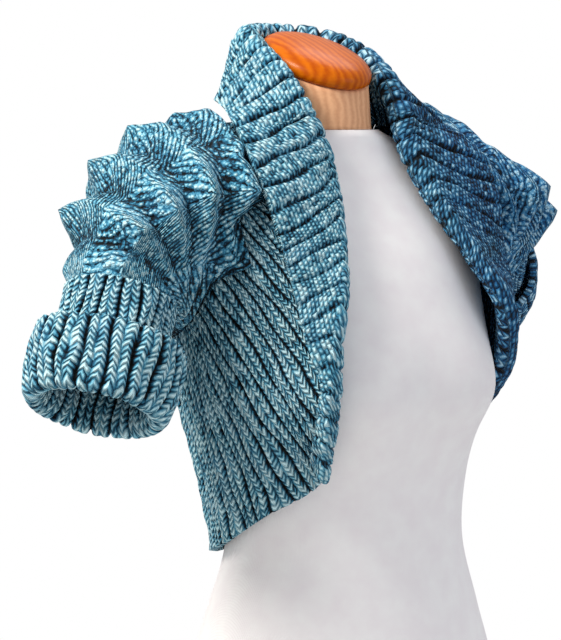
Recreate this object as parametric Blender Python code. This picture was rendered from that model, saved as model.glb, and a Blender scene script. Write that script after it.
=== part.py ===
"""A chunky hand-knitted bolero cardigan on a limbless dress form.

The form faces -Y and stands on its flat base at the origin, +Z up. The wearer's right is at -X.
The cardigan is a ring of ribbed knitting round the front opening (collar, fronts, hem) joined to two
short sleeves and a back yoke of mitred squares that stand out in points, with turned-back ribbed cuffs.
"""

import bpy
import bmesh
import numpy as np

# ---------------------------------------------------------------- driving dimensions, in metres
SEAM_GAP = 0.0015  # between two knitted pieces at a seam
WALL = 0.0034  # knitted wall between the ribs
RIB_HEIGHT = 0.0026  # how far a rib stands out of that wall
RIB_SHOULDERS = (0.0, 0.24, 0.76)  # where a rib's groove and its two top corners lie, in ribs
COLUMNS = len(RIB_SHOULDERS)

# The padded torso: a row for each level. front and back are how far it reaches to -Y and +Y.
BODY_LEVELS = (
    # level, half_width, front, back
    (0.000, 0.166, 0.110, 0.112),
    (0.055, 0.171, 0.114, 0.118),
    (0.110, 0.168, 0.110, 0.118),
    (0.170, 0.149, 0.100, 0.106),
    (0.240, 0.128, 0.091, 0.090),
    (0.300, 0.131, 0.094, 0.090),
    (0.345, 0.138, 0.106, 0.095),
    (0.385, 0.145, 0.119, 0.100),
    (0.425, 0.149, 0.117, 0.105),
    (0.470, 0.154, 0.101, 0.110),
    (0.520, 0.159, 0.076, 0.114),
    (0.560, 0.156, 0.048, 0.114),
    (0.590, 0.138, 0.028, 0.107),
    (0.610, 0.108, 0.019, 0.099),
    (0.622, 0.082, 0.016, 0.093),
    (0.630, 0.062, 0.014, 0.089),
    (0.645, 0.055, 0.016, 0.090),
    (0.665, 0.053, 0.016, 0.090),
)
BODY_TOP = 0.630  # the rows above it are the neck's, for what rests on it
BODY_RINGS = 22
BODY_SIDES = 32
# How far the torso's and the neck's centre lies behind the origin at each level.
CENTRE_LEVELS = (
    # level, behind
    (0.00, 0.000),
    (0.48, 0.000),
    (0.56, 0.014),
    (0.61, 0.031),
    (0.64, 0.037),
    (0.75, 0.037),
)
BUST_LEVEL = 0.385
BUST_SPREAD = 0.050
BUST_TURN = 0.66  # radians from the front to each side of the bust
BUST_WIDTH = 0.42
BUST_RISE = 0.016

NECK_RADIUS = 0.053
NECK_BASE = 0.6303
NECK_TOP = 0.668
NECK_SIDES = 28
CAP_RADIUS = 0.051
CAP_TILT = 0.40  # radians, the cap's top leans to the front
CAP_LEVEL = 0.696

# The ribbed band, numbered by ribs from the centre back of the neck, down the right front and
# round to the centre back of the hem. seam: where it joins the sleeve and yoke. edge: its fold
# along the neck and fronts, and its free edge along the hem.
BAND_STATIONS = (
    # rib, seam_x, seam_y, seam_z, edge_x, edge_y, edge_z
    (0.0, 0.000, 0.110, 0.630, 0.000, 0.099, 0.727),
    (1.7, -0.042, 0.098, 0.634, -0.034, 0.086, 0.724),
    (3.6, -0.066, 0.066, 0.637, -0.051, 0.052, 0.709),
    (5.1, -0.081, 0.043, 0.636, -0.053, 0.024, 0.688),
    (6.8, -0.090, 0.022, 0.631, -0.052, 0.000, 0.659),
    (9.4, -0.103, 0.000, 0.619, -0.050, -0.024, 0.607),
    (11.8, -0.118, -0.018, 0.603, -0.060, -0.052, 0.558),
    (14.6, -0.136, -0.032, 0.580, -0.079, -0.083, 0.508),
    (17.5, -0.151, -0.040, 0.552, -0.098, -0.111, 0.452),
    (20.0, -0.162, -0.036, 0.522, -0.104, -0.117, 0.395),
    (22.4, -0.170, -0.026, 0.496, -0.100, -0.097, 0.345),
    (24.0, -0.175, -0.015, 0.476, -0.097, -0.086, 0.318),
    (27.4, -0.178, 0.004, 0.453, -0.128, -0.046, 0.282),
    (30.8, -0.170, 0.038, 0.440, -0.135, 0.006, 0.250),
    (34.0, -0.144, 0.082, 0.436, -0.112, 0.056, 0.232),
    (37.5, -0.072, 0.118, 0.437, -0.062, 0.088, 0.226),
    (41.0, 0.000, 0.126, 0.438, 0.000, 0.101, 0.224),
)
# The free edge of the strip that is turned back over the neck and fronts.
TURNED_EDGES = (
    # rib, free_x, free_y, free_z
    (0.0, 0.000, 0.131, 0.658),
    (1.7, -0.043, 0.119, 0.657),
    (3.6, -0.080, 0.084, 0.655),
    (5.1, -0.107, 0.040, 0.646),
    (6.8, -0.128, 0.004, 0.634),
    (9.4, -0.143, -0.049, 0.588),
    (11.8, -0.138, -0.070, 0.541),
    (14.6, -0.134, -0.084, 0.499),
    (17.5, -0.130, -0.102, 0.449),
    (20.0, -0.121, -0.116, 0.400),
    (22.4, -0.118, -0.103, 0.354),
    (24.0, -0.116, -0.094, 0.335),
)
# The left front falls further back than the right one, so it has places of its own.
LEFT_EDGES = (
    # rib, edge_x, edge_y, edge_z
    (17.5, 0.102, -0.107, 0.452),
    (20.0, 0.130, -0.074, 0.398),
    (22.4, 0.149, -0.016, 0.352),
    (24.0, 0.148, 0.014, 0.325),
    (27.4, 0.140, 0.046, 0.296),
    (30.8, 0.122, 0.070, 0.266),
    (34.0, 0.096, 0.086, 0.243),
    (37.5, 0.056, 0.094, 0.229),
)
LEFT_TURNED_EDGES = (
    # rib, free_x, free_y, free_z
    (17.5, 0.134, -0.093, 0.452),
    (20.0, 0.156, -0.054, 0.403),
    (22.4, 0.164, -0.012, 0.362),
    (24.0, 0.163, 0.012, 0.342),
)
HALF_RING = 41
COLLAR_RIBS = 6
FRONT_RIBS = 24
ROLL = 0.017  # between the two layers at the fold
ROLL_DEPTH = 0.009  # from the fold back to where the layers run flat
UP_TURN = 1.3  # how much the seam's thickness turns upwards where the collar stands up

# The armhole: its front is the band's seam between two ribs, its back runs through these points.
ARMHOLE_TOP_RIB = 5
ARMHOLE_UNDER_RIB = 29
ARMHOLE_BACK = (
    # part of the ring, x, y, z (of the right side)
    (0.62, -0.168, 0.078, 0.480),
    (0.75, -0.150, 0.108, 0.540),
    (0.88, -0.115, 0.100, 0.602),
)
# Each sleeve runs from its armhole to a round end. The left one swings to the back.
SLEEVE_ROWS = 20
SLEEVE_SIDES = 24
SLEEVE_RADIUS = 0.046
RIGHT_SLEEVE = {"side": -1, "end": (-0.264, -0.010, 0.484), "axis": (-0.43, -0.24, -0.87)}
LEFT_SLEEVE = {"side": 1, "end": (0.254, 0.075, 0.510), "axis": (0.50, 0.66, -0.56)}
LEAVE_TOP = (0.97, -0.02, 0.04)  # how the sleeve leaves the armhole at the shoulder
UNDER_LIFT = 0.10  # how much it leaves upwards of straight under the arm
UNDER_AWAY = 0.6  # and how much straight across its seam
LEAVE_BOW = np.array([0.0, 0.55, 0.0])  # how far its front and back bow outwards
END_TWIST = 0.55  # how far the end's outer top turns towards the back
SLEEVE_EASE = 1.1  # how far the sleeve runs on in its first and last directions at the top
UNDER_EASE = 0.7  # and under the arm
# The points of the mitred squares: ridges run round the sleeve and rise to points.
RIDGES = 5
POINTS_ROUND = 4
POINT_SHIFT = 1 / 24  # of the way round, from the outer top towards the back
POINT_HEIGHT = 0.024
FULL_POINT_LINE = 0.19  # the points are full height where the sleeve is this long
SADDLE = 0.35  # a ridge's height between two points
YOKE_ACROSS = 20
YOKE_DOWN = 12
YOKE_RIDGES = 3
YOKE_POINTS = 5
YOKE_POINT_HEIGHT = 0.024
YOKE_BULGE = 0.006  # how far the yoke's middle stands off
YOKE_TRIM = 0.006  # of its width, cut away for the gap to each sleeve

# The cuff's section, from the sleeve's end down inside, round its lip and back up outside.
CUFF_RIBS = 18
CUFF_SECTION = (
    # row, along the axis, radius
    (0, 0.0008, 0.0455),
    (1, 0.020, 0.0450),
    (2, 0.040, 0.0455),
    (3, 0.066, 0.0465),
    (4, 0.090, 0.0475),
    (5, 0.1005, 0.0500),
    (6, 0.1050, 0.0550),
    (7, 0.1000, 0.0600),
    (8, 0.082, 0.0630),
    (9, 0.060, 0.0635),
    (10, 0.044, 0.0605),
)
CUFF_COVERED_ROW = 2
CUFF_SPLIT_ROW = 5.0  # inside the lip, where the lower sleeve ends and its turned-back part begins
CUFF_SPLIT_HALF = 0.05  # rows left out on either side of the split

KNIT_COLOUR = (0.112, 0.337, 0.451, 1.0)
COVER_COLOUR = (0.86, 0.84, 0.83, 1.0)
NECK_COLOUR = (0.58, 0.32, 0.20, 1.0)
CAP_COLOUR = (0.80, 0.24, 0.025, 1.0)


# ---------------------------------------------------------------- curves through table rows
def through_rows(rows, at):
    """Values of every column after the first, at the given places along the first column.

    A cubic runs between neighbouring rows, its slope at a row being that of the line between
    the rows on either side of it.
    """
    table = np.array(rows, dtype=float)
    places = table[:, 0]
    values = table[:, 1:]
    slopes = np.gradient(values, places, axis=0)
    at = np.clip(np.asarray(at, dtype=float), places[0], places[-1])
    row = np.clip(np.searchsorted(places, at, side="right") - 1, 0, len(places) - 2)
    step = (places[row + 1] - places[row])[..., None]
    part = (at - places[row])[..., None] / step
    start = values[row] * (2 * part**3 - 3 * part**2 + 1)
    leave = slopes[row] * step * (part**3 - 2 * part**2 + part)
    end = values[row + 1] * (3 * part**2 - 2 * part**3)
    arrive = slopes[row + 1] * step * (part**3 - part**2)
    return start + leave + end + arrive


def unit(vectors):
    """Each vector at length one."""
    length = np.linalg.norm(vectors, axis=-1, keepdims=True)
    return vectors / np.maximum(length, 1e-12)


def centre_behind(level):
    """How far the figure's centre lies towards +Y at a level."""
    return through_rows(CENTRE_LEVELS, level)[..., 0]


def body_radius(turn, level):
    """The torso's radius about its centre, turn radians from the back (+Y) towards +X."""
    half_width, front, back = np.moveaxis(through_rows(BODY_LEVELS, level), -1, 0)
    behind = centre_behind(level)
    depth = np.where(np.cos(turn) < 0, front + behind, back - behind)
    oval = 1 / np.sqrt((np.sin(turn) / half_width) ** 2 + (np.cos(turn) / depth) ** 2)
    from_front = np.pi - np.abs(turn)
    across = np.exp(-(((from_front - BUST_TURN) / BUST_WIDTH) ** 2))
    upright = np.exp(-(((level - BUST_LEVEL) / BUST_SPREAD) ** 2))
    return oval + BUST_RISE * across * upright


def on_figure(turn, level, radius):
    """The point at a turn, level and radius about the figure's centre."""
    x = radius * np.sin(turn)
    y = centre_behind(level) + radius * np.cos(turn)
    return np.stack([x, y, level + 0 * x], axis=-1)


def round_figure(points):
    """The turn, level and radius of points about the figure's centre."""
    forward = points[..., 1] - centre_behind(points[..., 2])
    turn = np.arctan2(points[..., 0], forward)
    return turn, points[..., 2], np.hypot(points[..., 0], forward)


# ---------------------------------------------------------------- meshes and materials
def knit_material(name, colour, roughness):
    """A plain Principled BSDF material."""
    material = bpy.data.materials.new(name)
    material.use_nodes = True
    shader = material.node_tree.nodes["Principled BSDF"]
    shader.inputs["Base Color"].default_value = colour
    shader.inputs["Roughness"].default_value = roughness
    return material


def add_solid(name, points, faces, material):
    """One closed object from points and faces, its faces turned outwards."""
    mesh = bpy.data.meshes.new(name)
    mesh.from_pydata([tuple(point) for point in points], [], faces)
    shape = bmesh.new()
    shape.from_mesh(mesh)
    bmesh.ops.recalc_face_normals(shape, faces=shape.faces)
    shape.to_mesh(mesh)
    shape.free()
    mesh.materials.append(material)
    mesh.shade_smooth()
    mesh.set_sharp_from_angle(angle=0.7)
    solid = bpy.data.objects.new(name, mesh)
    bpy.context.scene.collection.objects.link(solid)
    return solid


def stacked_rings(name, rings, material):
    """A solid of rings of points, with a flat fan over the first and the last."""
    count = len(rings[0])
    points = [point for ring in rings for point in ring]
    faces = []
    for ring in range(len(rings) - 1):
        for side in range(count):
            low, after = ring * count + side, ring * count + (side + 1) % count
            faces.append((low, after, after + count, low + count))
    for ring, outer in ((0, rings[0]), (len(rings) - 1, rings[-1])):
        middle = len(points)
        points.append(np.mean(outer, axis=0))
        for side in range(count):
            faces.append((ring * count + side, ring * count + (side + 1) % count, middle))
    return add_solid(name, points, faces, material)


def knitted_wall(name, faces_pair, fine_pair, per_rib, closed, material):
    """A closed wall between two grids of points, each of rows by columns.

    A row marked fine keeps all its columns; another keeps only the first of each rib. Faces
    between rows are made rib by rib, so that a fine row may meet a plain one.
    """
    rows, columns = faces_pair[0].shape[:2]
    ribs = columns // per_rib if closed else (columns - 1) // per_rib
    points = []
    index = []
    for grid, fine in zip(faces_pair, fine_pair):
        numbers = {}
        for row in range(rows):
            for column in range(0, columns, 1 if fine[row] else per_rib):
                numbers[row, column] = len(points)
                points.append(grid[row, column])
        index.append(numbers)

    def stretch(side, row, rib):
        """The point numbers of one rib's stretch of a row."""
        step = 1 if fine_pair[side][row] else per_rib
        wanted = range(rib * per_rib, (rib + 1) * per_rib + 1, step)
        return [index[side][row, column % columns if closed else column] for column in wanted]

    def bridge(low, high):
        """Faces between two stretches: four-sided where they match, else one face."""
        if len(low) == len(high):
            return [
                (low[k], low[k + 1], high[k + 1], high[k]) for k in range(len(low) - 1)
            ]
        return [tuple(low + high[::-1])]

    faces = []
    for rib in range(ribs):
        for side in (0, 1):
            for row in range(rows - 1):
                faces += bridge(stretch(side, row, rib), stretch(side, row + 1, rib))
        for row in (0, rows - 1):
            faces += bridge(stretch(0, row, rib), stretch(1, row, rib))
    if not closed:
        for column in (0, columns - 1):
            for row in range(rows - 1):
                corners = [index[0][row, column], index[0][row + 1, column]]
                corners += [index[1][row + 1, column], index[1][row, column]]
                faces.append(tuple(corners))
    return add_solid(name, points, faces, material)


def normals_of(surface, first, second):
    """The unit normals of a surface of two parameters, from its slopes."""
    small = 1e-3
    along_first = surface(first + small, second) - surface(first - small, second)
    along_second = surface(first, second + small) - surface(first, second - small)
    return unit(np.cross(along_first, along_second))


def grid_normals(grid, closed):
    """The unit normals of a grid of points, from the lines between each point's neighbours.

    The grid has rows by columns of points. closed says that its last column meets its first.
    """
    if closed:
        grid = np.concatenate([grid[:, -1:], grid, grid[:, :1]], axis=1)
    normals = unit(np.cross(np.gradient(grid, axis=1), np.gradient(grid, axis=0)))
    return normals[:, 1:-1] if closed else normals


def rib_columns(first, last, closed=False):
    """Where the columns of a run of ribs lie, and 1 at a rib's top and 0 in its groove."""
    ribs = np.arange(first, last)
    places = (ribs[:, None] + np.array(RIB_SHOULDERS)).ravel()
    tops = np.tile([0.0] + [1.0] * (COLUMNS - 1), len(ribs))
    if not closed:
        places = np.append(places, last)
        tops = np.append(tops, 0.0)
    return places, tops


# ---------------------------------------------------------------- the dress form
def make_form():
    """The torso, its neck block and its slanted cap."""
    cover = knit_material("form_cover", COVER_COLOUR, 0.85)
    turns = np.linspace(0, 2 * np.pi, BODY_SIDES, endpoint=False) - np.pi
    spaced = np.linspace(0, 1, BODY_RINGS)
    levels = BODY_TOP * (spaced + 0.06 * np.sin(2 * np.pi * spaced))
    rings = [on_figure(turns, level, body_radius(turns, level)) for level in levels]
    stacked_rings("form_body", rings, cover)

    turns = np.linspace(0, 2 * np.pi, NECK_SIDES, endpoint=False)
    behind = centre_behind(NECK_TOP)
    slope = np.tan(CAP_TILT)
    rings = []
    for share in (0.0, 0.5, 1.0):
        radius = NECK_RADIUS - 0.003 * share
        across = radius * np.sin(turns)
        ahead = radius * np.cos(turns)
        level = NECK_BASE + share * (CAP_LEVEL - 0.0090 + slope * ahead - NECK_BASE)
        rings.append(np.stack([across, behind + ahead, level], axis=-1))
    stacked_rings("form_neck", rings, knit_material("form_neck", NECK_COLOUR, 0.5))

    rings = []
    for out, rise in ((0.90, -0.0075), (1.0, -0.0045), (1.0, 0.002), (0.86, 0.010), (0.55, 0.015)):
        across = CAP_RADIUS * out * np.sin(turns)
        ahead = CAP_RADIUS * out * np.cos(turns) / np.cos(CAP_TILT)
        flat = np.stack([across, behind + ahead, CAP_LEVEL + slope * ahead], axis=-1)
        lean = np.array([0.0, -np.sin(CAP_TILT), np.cos(CAP_TILT)])
        rings.append(flat + rise * lean)
    stacked_rings("form_cap", rings, knit_material("form_cap", CAP_COLOUR, 0.15))


# ---------------------------------------------------------------- the ribbed band
def both_sides(right, left):
    """Rows all the way round: the right ones, then their mirror image with the left ones' places."""
    right = np.array(right)
    mirror = np.ones(right.shape[1])
    mirror[1::3] = -1
    other = right.copy()
    for row in left:
        other[right[:, 0] == row[0], -3:] = np.array(row[1:]) * (-1, 1, 1)
    other = other[::-1] * mirror
    other[:, 0] = 2 * HALF_RING - other[:, 0]
    before = right[6:0:-1] * mirror
    before[:, 0] *= -1
    if right[-1, 0] == HALF_RING:
        other = other[1:]
    return np.vstack([before, right, other])


BAND_ROWS = both_sides(BAND_STATIONS, LEFT_EDGES)
TURNED_ROWS = both_sides(TURNED_EDGES, LEFT_TURNED_EDGES)


def band_seam_and_edge(rib):
    """The band's seam point and its fold or hem point at each rib."""
    values = through_rows(BAND_ROWS, rib)
    return values[..., 0:3], values[..., 3:6]


def over_figure(start, end, share):
    """A surface from start points to end points that follows the figure.

    Turn and level run evenly from one to the other, and the radius is the torso's own plus a
    clearance that runs evenly between those of the two ends.
    """
    turn_a, level_a, radius_a = round_figure(start)
    turn_b, level_b, radius_b = round_figure(end)
    clear_a = radius_a - body_radius(turn_a, level_a)
    clear_b = radius_b - body_radius(turn_b, level_b)
    turn = turn_a + (turn_b - turn_a) * share
    level = level_a + (level_b - level_a) * share
    clear = clear_a + (clear_b - clear_a) * share
    return on_figure(turn, level, body_radius(turn, level) + clear)


def band_layer(rib, share):
    """The band's under layer: share 0 at the seam and 1 at the fold or hem."""
    seam, edge = band_seam_and_edge(rib)
    return over_figure(seam, edge, share)


def band_surface(rib, place):
    """The band's middle: place 0 to 1 up to the fold, 1 to 2 round it and 2 to 3 turned back.

    The fold is half an oval, ROLL across and ROLL_DEPTH deep. From its outer end the turned-back
    layer runs over the figure to its own free edge.
    """
    seam, edge = band_seam_and_edge(rib)
    length = np.linalg.norm(edge - seam, axis=-1)
    before_roll = 1 - ROLL_DEPTH / length
    angle = np.pi * np.clip(place - 1, 0, 1)
    share = before_roll * np.clip(place, 0, 1) + ROLL_DEPTH / length * np.sin(angle)
    outward = normals_of(band_layer, rib, share)
    height = 0.5 * ROLL * (1 - np.cos(angle))
    under = band_layer(rib, share) + outward * height[..., None]
    free = through_rows(TURNED_ROWS, rib)
    back = np.clip(place - 2, 0, 1)
    over = over_figure(under, free, back)
    return np.where((place > 2)[..., None], over, under)


def band_seam_frame(rib):
    """At the band's seam: the point, the direction across it to the sleeve, and its thickness.

    Where the collar stands up from the shoulder the thickness turns upwards, halfway to the
    sleeve's own.
    """
    start = band_layer(rib, 0.0 * rib)
    ahead = band_layer(rib + 0.1, 0.0 * rib) - band_layer(rib - 0.1, 0.0 * rib)
    thick = normals_of(band_layer, rib, 0.0 * rib)
    from_neck = np.minimum(np.abs(rib), np.abs(2 * HALF_RING - rib))
    near_neck = np.clip(1.6 - from_neck / 8.0, 0, 1)
    thick = unit(thick + np.array([0.0, 0.0, UP_TURN]) * near_neck[..., None])
    away = unit(np.cross(ahead, thick))
    return start, away, thick


def make_band(name, first, last, rows, turned, material):
    """One stretch of the band, its ribs raised on the side that shows."""
    places, tops = rib_columns(first, last)
    trim = SEAM_GAP / 2 / 0.02
    places = np.clip(places, first + trim, last - trim)
    rib, place = np.meshgrid(places, rows)
    middle = band_surface(rib, place) if turned else band_layer(rib, place)
    outward = grid_normals(middle, False)
    outward[0] = band_seam_frame(rib[0])[2]
    under = place <= 1.01
    raised_out = np.where(under, tops * RIB_HEIGHT, 0.0)
    raised_in = np.where(under, 0.0, tops * RIB_HEIGHT)
    outer = middle + outward * (WALL / 2 + raised_out)[..., None]
    inner = middle - outward * (WALL / 2 + raised_in)[..., None]
    fine_out = list(under[:, 0])
    fine_in = [not fine for fine in fine_out]
    return knitted_wall(name, (outer, inner), (fine_out, fine_in), COLUMNS, False, material)


# ---------------------------------------------------------------- sleeves, yoke and cuffs
def mirrored(vectors, side):
    """Right-hand vectors for side -1, or their mirror image for side 1."""
    return np.asarray(vectors) * np.array([-side, 1.0, 1.0])


def armhole(part, side):
    """An armhole's points, the thickness of the seam, and the way over it to the sleeve.

    From part 0 to 0.5 it is the band's seam, shoulder to underarm, moved off it by the gap.
    From 0.5 to 1 it runs up the back through ARMHOLE_BACK.
    """

    def band_frame(ribs):
        """The band's own frame at ribs counted down this side from the neck."""
        return band_seam_frame(ribs if side < 0 else 2 * HALF_RING - ribs)

    ribs = ARMHOLE_TOP_RIB + 2 * part * (ARMHOLE_UNDER_RIB - ARMHOLE_TOP_RIB)
    start, away, front_thick = band_frame(np.minimum(ribs, float(ARMHOLE_UNDER_RIB)))
    front = start + away * SEAM_GAP
    ends, end_away, end_thick = band_frame(np.array([ARMHOLE_UNDER_RIB, ARMHOLE_TOP_RIB], dtype=float))
    ends = ends + end_away * SEAM_GAP
    rows = [(0.5, *ends[0], *end_thick[0], *end_away[0])]
    for place, x, y, z in ARMHOLE_BACK:
        outward = unit(np.array([x, y - centre_behind(z), 0.25 * abs(y)]))
        rows.append((place, *mirrored((x, y, z), side), *mirrored(outward, side), side, 0.0, 0.0))
    rows.append((1.0, *ends[1], *end_thick[1], *end_away[1]))
    back = through_rows(rows, part)
    in_front = (part <= 0.5)[..., None]
    ring = np.where(in_front, front, back[..., 0:3])
    thick = unit(np.where(in_front, front_thick, back[..., 3:6]))
    return ring, thick, unit(np.where(in_front, away, back[..., 6:9]))


def sleeve_frame(sleeve):
    """The sleeve end's centre, axis, and the directions to its outer top and its front."""
    axis = unit(np.array(sleeve["axis"]))
    outer = np.array([sleeve["side"], END_TWIST, 0.45])
    outer = unit(outer - axis * np.dot(outer, axis))
    front = np.cross(axis, outer) * sleeve["side"]
    return np.array(sleeve["end"]), axis, outer, front


def sleeve_tube(sleeve, part, along):
    """The smooth sleeve: along 0 at the armhole to 1 at the end, part 0 to 1 round it.

    Each line along it is a cubic from its armhole point, leaving as the shoulder or the
    underarm does, to its point on the end ring, arriving along the sleeve's axis.
    """
    side = sleeve["side"]
    start, _, away = armhole(part, side)
    centre, axis, outer, front = sleeve_frame(sleeve)
    angle = (2 * np.pi * part)[..., None]
    end = centre + SLEEVE_RADIUS * (outer * np.cos(angle) + front * np.sin(angle))
    length = np.linalg.norm(end - start, axis=-1, keepdims=True)
    top = mirrored(LEAVE_TOP, -side) * (1 + np.cos(angle)) / 2
    straight = (end - start) / length + np.array([0.0, 0.0, UNDER_LIFT]) + away * UNDER_AWAY
    leave = unit(top + straight * (1 - np.cos(angle)) / 2 - LEAVE_BOW * np.sin(angle))
    reach = length * (SLEEVE_EASE + (UNDER_EASE - SLEEVE_EASE) * (1 - np.cos(angle)) / 2)
    t = along[..., None]
    return (
        start * (2 * t**3 - 3 * t**2 + 1)
        + leave * reach * (t**3 - 2 * t**2 + t)
        + end * (3 * t**2 - 2 * t**3)
        + axis * reach * (t**3 - t**2)
    )


def ridge_height(across_ridges, along_ridge):
    """Mitred squares: sharp ridges one unit apart, each rising to a point every unit."""
    ridge = np.abs(((across_ridges + 0.5) % 1.0) * 2 - 1)
    point = np.abs(((along_ridge + 0.5) % 1.0) * 2 - 1)
    return (1 - ridge) * (SADDLE + (1 - SADDLE) * (1 - point))


def tube_start(sleeve, part):
    """Where the sleeve's lines start at the armhole."""
    return armhole(part % 1.0, sleeve["side"])[0]


def sleeve_surface(sleeve, part, along):
    """The sleeve with its pointed squares standing out of the smooth tube."""
    small = 1e-3
    tube = sleeve_tube(sleeve, part % 1.0, along)
    slope_a = sleeve_tube(sleeve, (part + small) % 1.0, along) - tube
    slope_b = sleeve_tube(sleeve, part % 1.0, along + small) - tube
    outward = unit(np.cross(slope_a, slope_b)) * sleeve["side"]
    fade = np.clip(np.minimum((along - 0.08) / 0.09, (1 - along) / 0.2), 0, 1)
    line = np.linalg.norm(sleeve_tube(sleeve, part % 1.0, 1.0 + 0 * along) - tube_start(sleeve, part), axis=-1)
    fade = fade * np.clip(line / FULL_POINT_LINE, 0, 1) ** 2
    pattern = ridge_height(along * RIDGES + 0.25, (part + POINT_SHIFT) * POINTS_ROUND)
    height = pattern * POINT_HEIGHT * fade
    return tube + outward * height[..., None]


def make_sleeve(name, sleeve, material):
    """The mitred-square sleeve as one closed wall, open at both ends."""
    parts = np.arange(SLEEVE_SIDES) / SLEEVE_SIDES
    alongs = np.linspace(0, 1, SLEEVE_ROWS + 1)
    part, along = np.meshgrid(parts, alongs)
    middle = sleeve_surface(sleeve, part, along)
    outward = grid_normals(middle, True) * sleeve["side"]
    outward[0] = armhole(part[0], sleeve["side"])[1]
    outward[-1] = unit(middle[-1] - np.array(sleeve["end"]))
    outer = middle + outward * WALL / 2
    inner = middle - outward * WALL / 2
    plain = [True] * len(alongs)
    knitted_wall(name, (outer, inner), (plain, plain), 1, True, material)


def make_cuff(name, sleeve, rows, material):
    """One stretch of the ribbed sleeve end, as rows of CUFF_SECTION, ribs raised where they show."""
    centre, axis, outer_way, front = sleeve_frame(sleeve)
    places, tops = rib_columns(0, CUFF_RIBS, closed=True)

    def surface(rib, row):
        """The cuff's middle: CUFF_SECTION turned about the sleeve's axis."""
        section = through_rows(CUFF_SECTION, row)
        angle = (2 * np.pi * rib / CUFF_RIBS)[..., None]
        ring = outer_way * np.cos(angle) + front * np.sin(angle)
        return centre + axis * section[..., 0:1] + ring * section[..., 1:2]

    rib, row = np.meshgrid(places, rows)
    middle = surface(rib, row)
    last_row = CUFF_SECTION[-1][0]
    outward = normals_of(surface, rib, np.clip(row, 1e-3, last_row - 1e-3)) * sleeve["side"]
    if rows[0] == 0:
        outward[0] = unit(middle[0] - centre - axis * CUFF_SECTION[0][1])
    showing_out = row <= CUFF_COVERED_ROW
    showing_in = row > CUFF_SPLIT_ROW
    outer = middle + outward * (WALL / 2 + np.where(showing_out, tops, 0.0) * RIB_HEIGHT)[..., None]
    inner = middle - outward * (WALL / 2 + np.where(showing_in, tops, 0.0) * RIB_HEIGHT)[..., None]
    fine_pair = (list(showing_out[:, 0]), list(showing_in[:, 0]))
    knitted_wall(name, (outer, inner), fine_pair, COLUMNS, True, material)


def on_torso(points):
    """Points as turn, level and clearance over the torso."""
    turn, level, radius = round_figure(points)
    return np.stack([turn, level, radius - body_radius(turn, level)], axis=-1)


def yoke_surface(across, down):
    """The back yoke: a patch blended from its four edges (a Coons patch), with its points.

    across runs 0 to 1 from the right armhole to the left, down from the collar to the hem band.
    The blend is made in turn, level and clearance over the torso, so that it follows the back.
    """
    half_top, half_low = float(ARMHOLE_TOP_RIB), float(HALF_RING - ARMHOLE_UNDER_RIB)
    top, top_away, _ = band_seam_frame(half_top * (1 - 2 * across))
    low, low_away, _ = band_seam_frame(HALF_RING + half_low * (2 * across - 1))
    top = on_torso(top + top_away * SEAM_GAP)
    low = on_torso(low + low_away * SEAM_GAP)
    right = on_torso(armhole(1 - 0.5 * down, -1)[0])
    left = on_torso(armhole(1 - 0.5 * down, 1)[0])
    corners = []
    for rib in (half_top, -half_top, HALF_RING - half_low, HALF_RING + half_low):
        corner, away, _ = band_seam_frame(np.array(rib))
        corners.append(on_torso(corner + away * SEAM_GAP))
    u, v = across[..., None], down[..., None]
    edges = top * (1 - v) + low * v + right * (1 - u) + left * u
    top_ends = corners[0] * (1 - u) + corners[1] * u
    low_ends = corners[2] * (1 - u) + corners[3] * u
    patch = edges - top_ends * (1 - v) - low_ends * v
    fade = np.clip(np.minimum(across, 1 - across) / 0.1, 0, 1)
    fade = fade * np.clip(np.minimum(down, 1 - down) / 0.12, 0, 1)
    height = ridge_height(down * YOKE_RIDGES + 0.5, across * YOKE_POINTS + 0.5)
    bulge = YOKE_BULGE * np.sin(np.pi * across) * np.sin(np.pi * down)
    turn, level, clear = np.moveaxis(patch, -1, 0)
    clear = clear + height * fade * YOKE_POINT_HEIGHT + bulge
    return on_figure(turn, level, body_radius(turn, level) + clear)


def make_yoke(name, material):
    """The back yoke as one closed wall, its edges facing its neighbours' edges."""
    share = np.linspace(YOKE_TRIM, 1 - YOKE_TRIM, YOKE_ACROSS + 1)
    downward = np.linspace(0, 1, YOKE_DOWN + 1)
    across, down = np.meshgrid(share, downward)
    middle = yoke_surface(across, down)
    outward = grid_normals(middle, False)
    outward = outward * np.sign(np.sum(outward[..., 1]))
    outward[:, 0] = armhole(1 - 0.5 * downward, -1)[1]
    outward[:, -1] = armhole(1 - 0.5 * downward, 1)[1]
    top_rib = float(ARMHOLE_TOP_RIB) * (1 - 2 * share)
    low_rib = HALF_RING + float(HALF_RING - ARMHOLE_UNDER_RIB) * (2 * share - 1)
    outward[0] = band_seam_frame(top_rib)[2]
    outward[-1] = band_seam_frame(low_rib)[2]
    outer = middle + outward * WALL / 2
    inner = middle - outward * WALL / 2
    plain = [True] * len(downward)
    knitted_wall(name, (outer, inner), (plain, plain), 1, False, material)


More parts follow.
